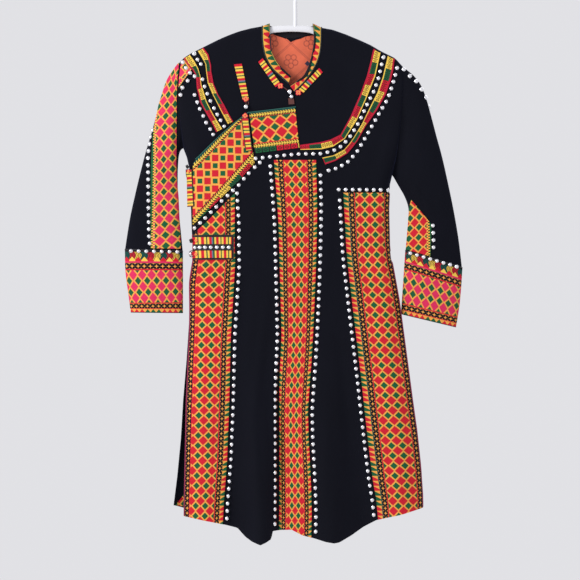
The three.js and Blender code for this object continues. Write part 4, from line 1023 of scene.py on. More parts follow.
def edges(lines, down, across):
    """A strip between two edges, its rows naming a place on either edge."""
    return spread(np.array(lines, dtype=float).reshape(-1, 2, 2), down, across)


def band_places(rows_at, first, last, first_row):
    lines = []
    for row in rows_at:
        left, right = float(read(front_edge_left, "col", row)), float(seam_right(row))
        lines.append([[col, row] for col in stops(row, left, right)[first:last + 1]])
    for row in MAIN_FLAT_ROWS:
        if row >= first_row:
            lines.append([[col, row] for col in skirt_line(row)[first:last + 1]])
    return np.array(lines, dtype=float)


def crossing(places, width, offset=0.0):
    """Steps across a band, measured on each row from edge to edge."""
    first, last = places[:, :1, 0], places[:, -1:, 0]
    return pair((places[..., 0] - first) / (last - first) * width + offset, places[..., 1])


def skirt_band(name, places, uv, finish, node):
    return applique(name, over_lift, places, BROCADE_TOP, finish, uv, node)


centre_places = hemmed(spread(band_places([160.5, 180, 200, 222], 9, 11, 245), 12, 20))
centre_share = crossing(centre_places, 1)[..., 0]
centre_uv = pair(np.interp(centre_share, [0, 0.32, 0.5, 0.68, 1], [4, 18, 27, 36, 50]), centre_places[..., 1])
centre_band = skirt_band("centre_band", centre_places, centre_uv, centre_brocade, "band_centre")
right_rows = band_places([193, 208, 225], BAND_R_INDEX + 1, MAIN_COLS - 1, 245)
right_places = hemmed(spread(right_rows, 12, 8))
right_uv = crossing(right_places, 46, 4)
right_band = skirt_band("right_band", right_places, right_uv, right_brocade, "band_right")
flap_foot = table("col row", [[193, 236], [200, 229], [216, 213], [231, 197.5], [246, 182]])
left_rows = band_places([222], 0, 3, 245)
left_rows[0, :, 1] = read(flap_foot, "row", left_rows[0, :, 0], "col")
left_places = hemmed(spread(left_rows, 12, 12))
left_band = skirt_band("left_band", left_places, crossing(left_places, 42.5), left_brocade, "band_left")

flap_a_places = edges([
    [[249.3, 113.4], [295.2, 107.8]], [[252, 132], [297, 127]], [[255, 153.8], [299.4, 148.2]],
], 24, 44)
flap_a_down, flap_a_wide = flap_a_places.shape[:2]
flap_a_uv = pair(np.linspace(0, 45, flap_a_wide), np.linspace(0, 41.4, flap_a_down)[:, None])
flap_a = applique(
    "chest_flap", over_lift, flap_a_places, BROCADE_TOP, flap_a_brocade, flap_a_uv, "flap_a")

flap_b_lines = [
    [[247, 114.2], [254.6, 163.4]], [[233.5, 125.4], [240.8, 179.2]], [[221.5, 136.2], [229, 190.8]],
    [[206.6, 150.2], [210.6, 209]], [[198.2, 158.8], [200.8, 218.6]], [[194.6, 163.4], [194.8, 224.8]],
]
flap_b_places = edges(flap_b_lines, 14, 60)


def slant_uv(places):
    """Steps along and across a flap whose two long edges slant: its cord above, its stitches below."""
    def off_line(first, last):
        way = np.subtract(last, first) / np.hypot(*np.subtract(last, first))
        off = places - np.array(first)
        return off @ way, off @ np.array([way[1], -way[0]])
    along, from_cord = off_line((241, 113.6), (193.3, 163.4))
    _, from_stitch = off_line((250.7, 158.3), (192.9, 223.1))
    return pair(along, lerp(from_cord, 40 + from_stitch, smooth(from_cord / 36)))


FOLD_LIFT = 0.7 * MM
flap_b = applique(
    "side_flap", over_lift, flap_b_places, BROCADE_TOP + FOLD_LIFT, flap_b_brocade, slant_uv(flap_b_places),
    "flap_b")

yoke_tables = {
    "yoke_right_inner": (over_lift, 0, ribbon_near, [
        [373.6, 48.9, 381, 53.3], [372.4, 52.9, 380.1, 57.6], [371, 59.6, 379.2, 61.4],
        [366.9, 76, 376, 76.4], [359.8, 95.3, 366.9, 98.9], [350.6, 116.7, 357.4, 120.6],
        [340.4, 135.1, 345, 139.7], [330.2, 140.2, 333, 147.7], [320, 142.8, 321.5, 150.4],
        [300, 145.5, 300.5, 150.8],
    ]),
    "yoke_right_outer": (over_lift, 0.5 * MM, ribbon_far, [
        [387, 56, 394.5, 59.3], [386.2, 60.3, 393.9, 63.7], [384.6, 66, 393.4, 69], [381.9, 77.3, 391, 79.5],
        [376.7, 92.6, 385.2, 95.6], [369.3, 107.3, 376.5, 111], [361.9, 123.3, 365.8, 126],
        [352.9, 138.2, 357.5, 141], [348.6, 144.2, 352.4, 147.8], [344, 149.5, 347, 154],
        [333, 155.5, 335.5, 161.2], [322, 157.6, 325.1, 165],
    ]),
    "yoke_left_inner": (under_lift, 0.3 * MM, ribbon_far, [
        [197.6, 51.6, 203.5, 48], [200.8, 57, 208.4, 54.4], [205, 64, 211, 65.5], [205.8, 71.5, 211.2, 71.4],
        [207.3, 83.3, 213.6, 83.6], [212.7, 95.5, 218.4, 95.2], [217.2, 104.6, 224, 104.8],
        [221, 112.3, 227.6, 111.8], [224.6, 119, 230.6, 117.4], [227.6, 124.6, 233.4, 122],
    ]),
    "yoke_left_outer": (under_lift, 0.8 * MM, ribbon_near, [
        [184.2, 58.5, 190.5, 55], [187, 64, 194.6, 60.4], [192.5, 70, 198.6, 68.2], [196, 76, 200.7, 76],
        [197, 87.8, 202, 85.5], [200.4, 103.2, 207.3, 101.6], [207.3, 115.4, 213.4, 113.9],
        [213, 125.4, 219, 123.2], [216.4, 132.6, 222.8, 129],
    ]),
}
yoke_pieces = []
for node, (lift_of, extra, finish, lines) in yoke_tables.items():
    places = edges(lines, 8, 10)
    yoke_pieces.append(applique(
        node + "_ribbon", lift_of, places, BROCADE_TOP + extra, finish, strip_uv(places, 1), node))

shoulder_places = edges([
    [[182, 61.6], [184.6, 60]], [[180.9, 65.6], [187.4, 64.6]], [[180.2, 69.4], [191.6, 69.6]],
    [[179.9, 73], [189.4, 73.4]], [[179.5, 78], [185.4, 78.4]], [[179.1, 84], [181.8, 84.2]],
    [[179, 88], [179.5, 88]],
], 6, 12)
shoulder_corner = applique(
    "shoulder_corner", under_lift, shoulder_places, BROCADE_TOP, shoulder_brocade, shoulder_places)

TAB_LIFT = 2 * BROCADE_TOP
TAB_TOP = TAB_LIFT + FOLD_LIFT
GROUND_LIFT = 2.3 * MM


def waist_lines(top, foot):
    lines = []
    for row in (top, foot):
        cells = skirt_line(row)
        lines.append([[col, row] for col in (cells[0] + 0.6, cells[1], cells[2], 232)])
    return np.array(lines, dtype=float).transpose(1, 0, 2)


tab_tables = {
    "chest_tab_upper": (under_lift, BROCADE_TOP, [
        [[234, 64.5], [241.7, 63.8]], [[242.6, 99.6], [248.8, 99]]]),
    "chest_tab_lower": (over_lift, TAB_TOP, [
        [[241.7, 119], [248.5, 119]], [[246, 151.7], [252, 151]]]),
    "collar_tab_left": (under_lift, BROCADE_TOP, [
        [[258.2, 62], [262.6, 58.2]], [[275.6, 87.4], [280.6, 84]]]),
    "collar_tab_right": (over_lift, BROCADE_TOP, [
        [[319.2, 68.2], [322.8, 72.6]], [[298.6, 90.2], [303.2, 93.4]]]),
    "side_tab": (over_lift, TAB_TOP, [
        [[189, 169.4], [194, 169.4]], [[189.6, 206.4], [195.8, 206.4]]]),
    "waist_tab_upper": (over_lift, TAB_LIFT + 0.1 * MM, waist_lines(237.4, 244.3)),
    "waist_tab_lower": (over_lift, TAB_TOP + 0.2 * MM, waist_lines(250.8, 258)),
}
ground_places = edges(
    [[194.9, 235.8, 233.4, 235.8], [195.2, 247.4, 233.6, 247.4], [195.4, 259.2, 233.6, 259.2]], 10, 34)
ground_uv = edges([[0, 0, 39, 0], [0, 12, 39, 12], [0, 24, 39, 24]], 10, 34)
waist_ground = applique(
    "waist_ground", over_lift, ground_places, GROUND_LIFT, black_cord, ground_uv,
    thickness=0.5 * MM)
tab_pieces = []
tab_places = {}
for node, (lift_of, lift, lines) in tab_tables.items():
    coarse = np.array(lines, dtype=float)
    places = spread(coarse, 28 if len(coarse) == 2 else 10, 10)
    tab_places[node] = (lift_of, lift, places)
    tab_pieces.append(applique(
        node + "_ribbon", lift_of, places, lift, stripe, strip_uv(places, 7), node))


# Tubes: sleeves and cuffs. A place on one is named by its ring and its step round

SLEEVE_NAMES = "outer_col outer_row inner_col inner_row front back share"
sleeve_left_table = table(SLEEVE_NAMES, [
    [184, 57, 183, 148, 0, 0, 0.31], [180, 61, 181.4, 148.8, 15, 14, 0.31],
    [173.5, 69.5, 179.6, 151.5, 16, 15, 0.31], [167, 80, 178.4, 156.5, 17, 16, 0.31],
    [161.8, 95, 177.8, 164, 18, 16, 0.28], [157, 111, 177.4, 173, 18, 17, 0.24],
    [151.5, 131, 177.4, 183, 18, 17, 0.22], [145.5, 151, 177.5, 194, 18, 17, 0.22],
    [140, 172, 178.3, 206, 17, 16, 0.31], [134.5, 195, 179.3, 219, 16, 15, 0.386],
    [129.3, 219, 180.8, 234, 15, 14, 0.437], [124.6, 249, 182.4, 250.6, 14, 13, 0.47],
])
sleeve_right_table = table(SLEEVE_NAMES, [
    [403, 66, 392.5, 175, 0, 0, 0.31], [407.5, 69.5, 394.3, 177.6, 15, 14, 0.31],
    [414.5, 75.5, 396.8, 182, 17, 15, 0.31], [421.5, 85, 400, 187.5, 18, 16, 0.31],
    [427, 99, 403.5, 193.5, 19, 17, 0.31], [432, 117, 406.5, 200, 19, 17, 0.34],
    [437, 136, 408.6, 207, 19, 17, 0.38], [442.7, 157, 409.2, 215, 18, 16, 0.42],
    [449, 185, 409, 224, 17, 15, 0.475], [454.7, 213, 408.2, 232, 16, 15, 0.53],
    [459.2, 240, 407.2, 241, 15, 14, 0.56], [462.4, 267.4, 405.8, 250, 14, 13, 0.572],
])
cuff_left_table = table("outer_col outer_row inner_col inner_row front back", [
    [124.3, 249.4, 182.6, 251, 14.5, 13.5], [125, 272, 182.7, 272, 15, 14], [127.8, 294, 182.7, 293, 15, 14],
    [130.3, 312.6, 182.7, 313.2, 15, 14],
])
cuff_right_table = table("outer_col outer_row inner_col inner_row front back", [
    [463, 267.8, 405.6, 250.45, 14.5, 13.5], [461.6, 289, 404.2, 271, 15, 14],
    [459.7, 308, 402.7, 293, 15, 14], [456.5, 327.5, 401.2, 314.3, 15, 14],
])
TRIM_STEP = 3
SEAM_RINGS = 4
CREASE_RINGS = 1.5
REAR_CREASES = -0.6


def even(k):
    """A step's share of the way across a half ring."""
    return (1 - np.cos(math.pi * k / RING_HALF)) / 2


def share_at(step, trim_share):
    """The same with a step of its own for the band's edge."""
    pivot = even(TRIM_STEP)
    low = even(step) / pivot * trim_share
    high = trim_share + (even(step) - pivot) / (1 - pivot) * (1 - trim_share)
    return np.where(step <= TRIM_STEP, low, high)


def curve(values, at):
    """A smooth line through a table's values, at any ring between them."""
    last = len(values) - 1
    i = np.clip(np.floor(at).astype(int), 0, last - 1)
    s = at - i
    a, b, c, d = (values[np.clip(i + k, 0, last)] for k in (-1, 0, 1, 2))
    square, cube = 2 * a - 5 * b + 4 * c - d, 3 * b - a - 3 * c + d
    return 0.5 * (2 * b + (c - a) * s + square * s ** 2 + cube * s ** 3)


class Tube:
    """A sleeve, which starts as its armhole, or a cuff, which is round all along."""

    def __init__(self, data, armhole=None, creases=None):
        self.data = data
        self.armhole = armhole
        self.creases = creases
        self.last = len(data["front"]) - 1
        r, t = np.meshgrid(np.linspace(0, self.last, 160), np.linspace(0, RING_HALF, 120), indexing="ij")
        col, row, _ = self.form(r, t)
        self.known = np.stack([r.ravel(), t.ravel(), col.ravel(), row.ravel()], axis=-1)

    def form(self, r, t):
        data = {key: curve(values, r) for key, values in self.data.items()}
        t = np.mod(t, RING)
        rear = t > RING_HALF
        step = np.where(rear, RING - t, t)
        sign = np.where(rear, 1.0, -1.0)
        if self.armhole is None:
            s = even(step)
            col = lerp(data["outer_col"], data["inner_col"], s)
            row = lerp(data["outer_row"], data["inner_row"], s)
            depth = np.sin(math.pi * step / RING_HALF) * np.where(rear, data["back"], data["front"]) * MM
        else:
            blend = smooth(r / SEAM_RINGS)
            arm_col, arm_row = (
                np.interp(step, np.arange(RING_HALF + 1), self.armhole[key]) for key in ("col", "row"))
            c0, r0, c1, r1 = (self.armhole[k][i] for i in (0, -1) for k in ("col", "row"))
            arm_share = np.hypot(arm_col - c0, arm_row - r0) / math.hypot(c1 - c0, r1 - r0)
            bow = arm_col - lerp(c0, c1, arm_share)
            s = clamp01(lerp(arm_share, share_at(step, data["share"]), blend))
            col = lerp(data["outer_col"], data["inner_col"], s) + bow * (1 - blend)
            row = lerp(data["outer_row"], data["inner_row"], s)
            seat = np.where(rear, depth_at(back, arm_col, arm_row), depth_at(front, arm_col, arm_row))
            seat = np.where((step < 0.01) | (step > RING_HALF - 0.01), 0, seat)
            round_depth = np.where(rear, data["back"], data["front"]) * np.sqrt(4 * s * (1 - s)) * MM
            depth = lerp(seat, round_depth, blend)
            inside = np.sin(math.pi * step / RING_HALF) ** 0.5 * smooth(r / CREASE_RINGS)
            rise = crease_rise(self.creases, col, row) * MM * inside
            depth = depth + rise * np.where(rear, REAR_CREASES, 1)
        return col, row, sign * depth

    def place(self, r, t):
        col, row, depth = self.form(r, t)
        return np.stack([gx(col), depth, gz(row)], axis=-1)

    def at(self, r, t, lift=0.0):
        """Places on the tube or over it, with their normals."""
        way = 0.04
        around = self.place(r, t + way) - self.place(r, t - way)
        low, high = np.clip(r - way, 0, self.last), np.clip(r + way, 0, self.last)
        along = self.place(high, t) - self.place(low, t)
        normal = unit(np.cross(around, along))
        here = self.place(r, t)
        middle = (self.place(r, np.zeros_like(t)) + self.place(r, np.full_like(t, RING_HALF))) / 2
        normal = np.where(np.sum(normal * (here - middle), axis=-1, keepdims=True) < 0, -normal, normal)
        return here + normal * lift, normal

    def find(self, cols, rows):
        """Ring and step of places on the front half."""
        cols, rows = np.asarray(cols, dtype=float), np.asarray(rows, dtype=float)
        flat = np.stack([cols.ravel(), rows.ravel()], axis=-1)
        r, t = np.empty(len(flat)), np.empty(len(flat))
        for i, (col, row) in enumerate(flat):
            best = np.argmin((self.known[:, 2] - col) ** 2 + (self.known[:, 3] - row) ** 2)
            r[i], t[i] = self.known[best, :2]
        way = 0.02
        for _ in range(4):
            col, row, _ = self.form(r, t)
            off_col, off_row = flat[:, 0] - col, flat[:, 1] - row
            col_r, row_r, _ = self.form(r + way, t)
            col_t, row_t, _ = self.form(r, t + way)
            a, b, c, d = (col_r - col) / way, (col_t - col) / way, (row_r - row) / way, (row_t - row) / way
            spin = a * d - b * c
            clear = (np.abs(spin) > 0.5) & (t > 0.2) & (t < RING_HALF - 0.2)
            spin = np.where(clear, spin, 1)
            r = r + np.where(clear, np.clip((off_col * d - off_row * b) / spin, -0.1, 0.1), 0)
            t = t + np.where(clear, np.clip((off_row * a - off_col * c) / spin, -0.1, 0.1), 0)
        return np.clip(r, 0, self.last).reshape(cols.shape), np.clip(t, 0, RING_HALF).reshape(cols.shape)


def tube_piece(name, tube, rings, sides, finish, uv_of, node):
    r, t = np.meshgrid(np.linspace(0, tube.last, rings), np.arange(sides) * RING / sides, indexing="ij")
    points, normals = tube.at(r, t)
    if tube.armhole is not None:
        normals[0] = flatten(normals[0], 0)
    return dress(shell(name, points, normals, CLOTH, finish, uv_of(r, t, points), closed=True), node)


def drafted_uv(r, t, points):
    return pair(points[..., 0], points[..., 2]) / GRID


def round_uv(r, t, points):
    """Steps round a cuff, measured on its middle ring, and steps down from its top."""
    return pair(run_along(points[len(points) // 2]) / GRID, np.linspace(0, 63, len(points))[:, None])


left_tube, left_cuff_tube = Tube(sleeve_left_table, armhole_left, sleeve_creases), Tube(cuff_left_table)
right_tube, right_cuff_tube = Tube(sleeve_right_table, armhole_right, sleeve_creases), Tube(cuff_right_table)
left_sleeve, right_sleeve = (
    tube_piece(name, tube, 90, 96, velvet, drafted_uv, node)
    for name, tube, node in (
        ("left_sleeve", left_tube, "sleeve_left"), ("right_sleeve", right_tube, "sleeve_right")))
left_cuff, right_cuff = (
    tube_piece(name, tube, 40, 112, cuff_brocade, round_uv, node)
    for name, tube, node in (
        ("left_cuff", left_cuff_tube, "cuff_left"), ("right_cuff", right_cuff_tube, "cuff_right")))


def tube_strip(name, tube, lines, turned, measure, finish, node):
    """A band on a sleeve between two edges, its first rows turned over the sleeve's outer fold."""
    ends = edges(lines, 7, 1)
    r, t = tube.find(ends[..., 0], ends[..., 1])
    steps = np.interp(ends[:, 0, 1], turned["row"], turned["steps"])
    ring = np.linspace(0, tube.last, 400)
    on_fold = np.interp(ends[:, 0, 1], curve(tube.data["outer_row"], ring), ring)
    r[:, 0] = np.where(steps > 0, on_fold, r[:, 0])
    t[:, 0] = np.where(steps > 0, -steps, t[:, 0])
    shares = np.linspace(0, 1, 40)
    r, t = lerp(r[:, :1], r[:, 1:], shares), lerp(t[:, :1], t[:, 1:], shares)
    points, normals = tube.at(r, t, BROCADE_TOP)
    col, row, _ = tube.form(r, np.maximum(t, 0))
    near, far = (read(measure, key, row) for key in ("near", "far"))
    across = (col - near) / np.abs(far - near) * 10 + np.minimum(t, 0) * 5
    uv = pair(across, row + across * 0.13)
    return dress(shell(name, points, normals, BROCADE, finish, uv), node)


left_measure = table("row near far", [
    [68, 177, 172], [77.3, 173.8, 169.6], [88.6, 172.5, 166], [99.7, 171.4, 163.9], [121.5, 169.8, 160.7],
    [143, 168.2, 159.7], [154, 167.9, 159.7], [215, 168.7, 159.2], [239, 171.6, 159.8],
])
right_measure = table("row near far", [
    [212, 415.1, 423.4], [223, 415.1, 423.5], [243, 413.8, 423.4], [256, 413.3, 423.2],
])
left_turned = table("row steps", [[65, 1.3], [96, 1.3], [105, 0.4], [108, 0]])
right_turned = table("row steps", [[199, 0], [256, 0]])
sleeve_band_left = tube_strip("left_sleeve_band", left_tube, [
    [176.6, 65.5, 178.8, 66], [171, 74.2, 177.9, 74.5], [166.5, 81, 177.2, 82], [163.3, 91, 176.8, 93],
    [160.3, 100, 176.5, 103], [158.2, 108, 176.5, 112], [155.6, 120, 176.3, 122], [153.4, 131, 176.2, 132],
    [152.3, 145, 176, 146], [151.4, 160, 175.6, 162], [151, 176, 176, 178], [150.8, 195, 177.6, 197],
    [150.7, 215, 178.6, 217], [150.6, 235, 179.6, 236], [150.6, 248.3, 180.2, 248.6],
], left_turned, left_measure, sleeve_brocade, "sleeve_band_left")
sleeve_band_right = tube_strip("right_sleeve_band", right_tube, [
    [411.4, 199.8, 412, 200.4], [410.3, 206, 416.6, 206.2], [409.6, 213, 422.2, 213.2],
    [409.2, 220, 428.2, 220.3], [408.9, 224, 431.3, 224.6], [408, 235, 431.2, 236], [406.9, 246, 430.8, 250],
    [406.6, 249.4, 430.6, 256.4],
], right_turned, right_measure, sleeve_right_shaded_brocade, "sleeve_band_right")

# Collar

collar_upper = table("col row depth", [
    [290.8, 76.5, -4], [285.5, 71.8, -4], [278.5, 64.5, -3], [273.5, 56, -2], [271, 49, -1.5],
    [270.2, 40, -1], [269.6, 30, 0], [269.3, 25.6, 0], [269.2, 22.6, 0], [269.8, 24.6, 0], [274, 26, 0],
    [283, 27.5, 0], [292.5, 28, 0], [301, 27.5, 0], [309, 26, 0], [313, 24.8, 0], [313.2, 22.8, 0],
    [313.5, 26, 0], [313.9, 31, 0], [314.3, 41, -1], [312.6, 53, -1.5], [309.5, 64.5, -2], [304.5, 75.5, -3],
    [297.5, 81.5, -1], [290.4, 86.4, 0],
])
COLLAR_ROWS = 7
NECK_SHARE = 1 - 0.45 / 8
COLLAR_BOW = 1.2 * MM
COLLAR_WALL = 1.8 * MM
COLLAR_LEAST = 6 * MM


def collar_points():
    """The collar's coarse grid: its upper edge first, its lower edge on the neckline."""
    left = [(c, r, front, under_lift) for c, r in zip(neck_left["col"], neck_left["row"])][::-1]
    rear = [(c, r, back, back_lift) for c, r in zip(neck_back["col"][1:-1], neck_back["row"][1:-1])]
    right = [(c, r, front, over_lift) for c, r in zip(neck_right["col"], neck_right["row"])]
    lower = left + rear + right
    ridges = (len(left) - 1, len(lower) - len(right))
    grid = np.zeros((COLLAR_ROWS, len(lower), 3))
    for i, (low_col, low_row, face, lift_of) in enumerate(lower):
        high_col, high_row = collar_upper["col"][i], collar_upper["row"][i]
        lift = float(lift_of(low_col, low_row)) if lift_of is over_lift else 0.0
        base = float(depth_at(face, np.float64(low_col), np.float64(low_row))) + lift
        top = max(base + collar_upper["depth"][i] * MM, COLLAR_LEAST)
        for k, s in enumerate(np.linspace(0, NECK_SHARE, COLLAR_ROWS)):
            depth = 0 if i in ridges else lerp(top, base, s) + COLLAR_BOW * math.sin(math.pi * s)
            col, row = lerp(high_col, low_col, s), lerp(high_row, low_row, s)
            grid[k, i] = [gx(col), face["sign"] * depth, gz(row)]
    return grid


collar_coarse = collar_points()
COLLAR_FINE = 6
collar_at = np.linspace(0, collar_coarse.shape[1] - 1, (collar_coarse.shape[1] - 1) * COLLAR_FINE + 1)
collar_grid = np.stack([
    np.stack([curve(line[:, axis], collar_at) for axis in range(3)], axis=-1) for line in collar_coarse])


def grid_normals(points, middle):
    across = np.gradient(points, axis=1)
    down = np.gradient(points, axis=0)
    normals = unit(np.cross(across, down))
    return np.where(np.sum(normals * (points - middle), axis=-1, keepdims=True) < 0, -normals, normals)


collar_normals = grid_normals(collar_grid, np.array([0, 0, float(gz(60))]))
collar_uv = pair(np.linspace(0, 8.6, COLLAR_ROWS)[:, None], run_along(collar_grid[COLLAR_ROWS // 2]) / GRID)
collar = dress(shell(
    "stand_collar", collar_grid, collar_normals, COLLAR_WALL, collar_brocade, collar_uv, inner_shift=30.0,
), "collar")


# Rings of points, for studs, cords, buttons and the hanger

def around(sides):
    return [(k, (k + 1) % sides) for k in range(sides)]


def ring_faces(rings, sides, first=0, tip=None):
    """Faces between rings, closed at the foot, and at the top by a face or up to a tip."""
    faces = [tuple(first + k for k in reversed(range(sides)))]
    last = first + (rings - 1) * sides
    for a in range(first, last, sides):
        faces += [(a + k, a + m, a + sides + m, a + sides + k) for k, m in around(sides)]
    if tip is None:
        faces.append(tuple(last + k for k in range(sides)))
    else:
        faces += [(last + k, last + m, tip) for k, m in around(sides)]
    return faces


def ring_points(centre, side, up, radius, sides):
    angle = 2 * math.pi * np.arange(sides) / sides
    return centre + (np.outer(np.cos(angle), side) + np.outer(np.sin(angle), up)) * radius


def frame_of(normal):
    side = np.cross(normal, [0, 0, 1.0])
    side = np.array([1.0, 0, 0]) if np.linalg.norm(side) < 1e-3 else side / np.linalg.norm(side)
    return side, np.cross(side, normal)


def turned_points(seat, normal, profile, sides):
    """Rings about a normal, at each of a profile's radii and heights in mm."""
    return np.concatenate([
        ring_points(seat + normal * high * MM, *frame_of(normal), wide * MM, sides)
        for wide, high in profile])


def evenly(path, at_of):
    """Places at even steps along a path."""
    path = np.array(path, dtype=float)
    along = run_along(path)
    at = at_of(along[-1])
    return pair(np.interp(at, along, path[:, 0]), np.interp(at, along, path[:, 1]))


def stud_steps(length):
    count = max(1, round(length / STUD_PITCH))
    return length * (np.arange(count) + 0.5) / count


# Studs: a row of domes in one mesh

DOME_SIZE = 1.07
DOME = [(4.55, 0.0), (4.6, 0.35), (4.3, 0.75), (3.95, 1.35), (3.3, 2.2), (2.4, 2.95), (1.25, 3.4), (0, 3.55)]
DOME_SIDES = 14


def domes(name, seats, normals, node=None):
    points, faces = [], []
    for seat, normal in zip(seats, normals):
        first = len(points)
        points.extend(turned_points(seat, normal, np.array(DOME[:-1]) * DOME_SIZE, DOME_SIDES))
        points.append(seat + normal * DOME[-1][1] * MM * DOME_SIZE)
        faces += ring_faces(len(DOME) - 1, DOME_SIDES, first, len(points) - 1)
    return dress(mesh_piece(name, points, faces, silver), node)


def panel_studs(name, lift_of, places, node=None, lift=LAY):
    seats, normals = laid(front, lift_of, places, lift)
    return domes(name, seats, normals, node)


def tube_studs(name, tube, places, node=None, lift=LAY):
    r, t = tube.find(places[:, 0], places[:, 1])
    seats, normals = tube.at(r, t, lift)
    return domes(name, seats, normals, node)


def column_path(key, first, last):
    rows = np.linspace(first, last, 60)
    return hemmed(pair(read(band_stops, key, rows), rows))


FLAT_LAST = 519
panel_rows = {
    "studs_centre_left": (over_lift, column_path("ctrL", 163, FLAT_LAST)),
    "studs_centre_right": (over_lift, column_path("ctrR", 172, FLAT_LAST)),
    "studs_band_right": (over_lift, column_path("bandR", 197, FLAT_LAST)),
    "studs_band_left": (over_lift, column_path("bandL", 190, FLAT_LAST)),
    "studs_band_right_top": (over_lift, [[335, 189.8], [391, 190.2]]),
    "studs_yoke_right": (over_lift, [
        [384.4, 54], [382.2, 61.8], [379, 76.6], [373.9, 91.2], [366.4, 106], [359.3, 121.8], [350.8, 135.8],
        [342.1, 146.1], [332, 151.8], [320, 154.2], [300, 154.4], [282, 155.9], [267, 157.6], [252, 159.2]]),
    "studs_yoke_right_outer": (over_lift, [
        [397.6, 64.5], [396, 72], [392.4, 85], [387.4, 99.5], [378.5, 114.5], [368, 133], [358, 150.4],
        [349, 161.3], [338, 168.2], [325, 171.8]]),
}
panel_places = {
    "studs_flap_b": (over_lift, [
        [259.9, 163], [254.8, 167.7], [248.9, 173.6], [244, 179.1], [238.9, 185.4], [233, 190.7],
        [227.7, 196], [221.8, 201.3], [216.5, 207.2], [211.2, 212.5], [205.6, 218.2], [200.8, 223.1],
        [195.9, 228.2]]),
    "studs_yoke_left": (under_lift, [
        [194.3, 53.8], [197.4, 59.5], [200.8, 64.1], [202.5, 79.4], [204.6, 86.7], [207.3, 94],
        [210.4, 101.2], [214.2, 108.5], [217.4, 114.8], [220.7, 120.7], [224.5, 126.9]]),
    "studs_yoke_left_outer": (under_lift, [
        [194.7, 95.1], [197.4, 102.4], [199.9, 109.1], [203.4, 116.2], [206.4, 123], [210.4, 129.5],
        [213.4, 135]]),
}
for node, (lift_of, places) in panel_places.items():
    panel_studs(node + "_domes", lift_of, np.array(places), node)
for node, (lift_of, path) in panel_rows.items():
    panel_studs(node + "_domes", lift_of, evenly(path, stud_steps), node)
tube_rows = {
    "studs_sleeve_left": (left_tube, [
        [153.4, 126.5], [150.7, 135.3], [148.4, 151.3], [147.9, 159], [148.2, 175], [148.4, 190],
        [148.6, 213], [149, 236], [150, 247]]),
    "studs_sleeve_right": (right_tube, [[432.6, 222], [433.4, 240], [433.4, 251]]),
    "studs_cuff_left": (left_cuff_tube, [[127, 250.9], [153, 251.4], [181, 251.9]]),
    "studs_cuff_right": (right_cuff_tube, [[407, 252.1], [433, 259.8], [460, 267.6]]),
}
for node, (tube, path) in tube_rows.items():
    tube_studs(node + "_domes", tube, evenly(path, stud_steps), node)
waist_studs = np.array([[col, 247.5] for col in (196.8, 201.0, 205.6, 211, 217, 223, 229)])
panel_studs("waist_domes", over_lift, waist_studs, lift=GROUND_LIFT)
panel_studs("left_shoulder_domes", under_lift, np.array([
    [182.9, 62.4], [186, 68], [190.1, 72.9], [194.7, 76.6], [187.8, 81], [182.6, 87.8],
    [180.6, 95.1]]), lift=BROCADE_TOP)
tube_studs("right_shoulder_domes", right_tube, np.array([
    [403.7, 69.3], [409.8, 75.9], [416.2, 81], [421.5, 89.2], [425.8, 97.3], [429.5, 105.5]]))


# Cords and piping

def tube_mesh(name, path, radius, finish, node=None, sides=8):
    path = np.asarray(path, dtype=float)
    ways = unit(np.gradient(path, axis=0))
    side = np.cross(ways[0], [0.3, 0.5, 0.8])
    points = []
    for here, way in zip(path, ways):
        side = unit(side - way * np.dot(side, way))
        points.extend(ring_points(here, side, np.cross(way, side), radius, sides))
    uv = pair(np.arange(sides) / sides, run_along(path)[:, None] / GRID)
    return dress(mesh_piece(name, points, ring_faces(len(path), sides), finish, uv), node)


def cord_on(name, lift_of, path, radius, lift, finish, step=1.2):
    """A cord on the front, its radius in mm."""
    filled = evenly(path, lambda length: np.linspace(0, length, max(3, int(length / step))))
    points, _ = laid(front, lift_of, filled, lift)
    return tube_mesh(name, points, radius * MM, finish)


cord_on("flap_top_cord", over_lift, [
    [295.6, 107.4], [272, 110.4], [248.2, 113.2], [233, 124.8], [221, 135.5], [206.2, 149.8], [196.5, 159.6],
], 1.1, BROCADE_TOP + 0.4 * MM, green_cord)
edge_rows = np.linspace(262, 521, 120)
for name, edge, inset in (
    ("right_edge_piping", front_edge_right, -0.5), ("left_edge_piping", front_edge_left, 0.5),
):
    edge_path = hemmed(pair(read(edge, "col", edge_rows) + inset, edge_rows))
    cord_on(name, over_lift, edge_path, 1.3, BROCADE_TOP + 0.3 * MM, magenta_cord)
for name, tube in (("left_cuff_seam", left_cuff_tube), ("right_cuff_seam", right_cuff_tube)):
    seam_line, _ = tube.at(np.zeros(97), np.linspace(0, RING, 97), -0.6 * MM)
    tube_mesh(name, seam_line, 1.2 * MM, black_cord)
tube_mesh("collar_piping", collar_grid[-1] + collar_normals[-1] * 0.4 * MM, 1.3 * MM, black_cord)
tube_mesh("collar_top_piping", collar_grid[0] - collar_normals[0] * 0.9 * MM, 1.0 * MM, black_cord)


def outline_of(places):
    return np.concatenate([places[0], places[1:, -1], places[-1, -2::-1], places[-2:0:-1, 0], places[:1, 0]])


for node in ("chest_tab_lower", "side_tab"):
    lift_of, lift, places = tab_places[node]
    cord_on(node + "_piping", lift_of, outline_of(places), 0.8, lift, black_cord)
for name, path, radius in (
    ("waist_piping", [
        [195.4, 235.6], [214, 235.4], [233.6, 235.4], [233.8, 259.2], [214, 259.4], [195.6, 259.4]], 0.9),
    ("waist_inner_piping_upper", [[196, 245.2], [232.6, 245.2]], 0.6),
    ("waist_inner_piping_lower", [[196, 249.9], [232.6, 249.9]], 0.6),
):
    cord_on(name, over_lift, path, radius, TAB_TOP, black_cord)


# Buttons, loops, knots and petals

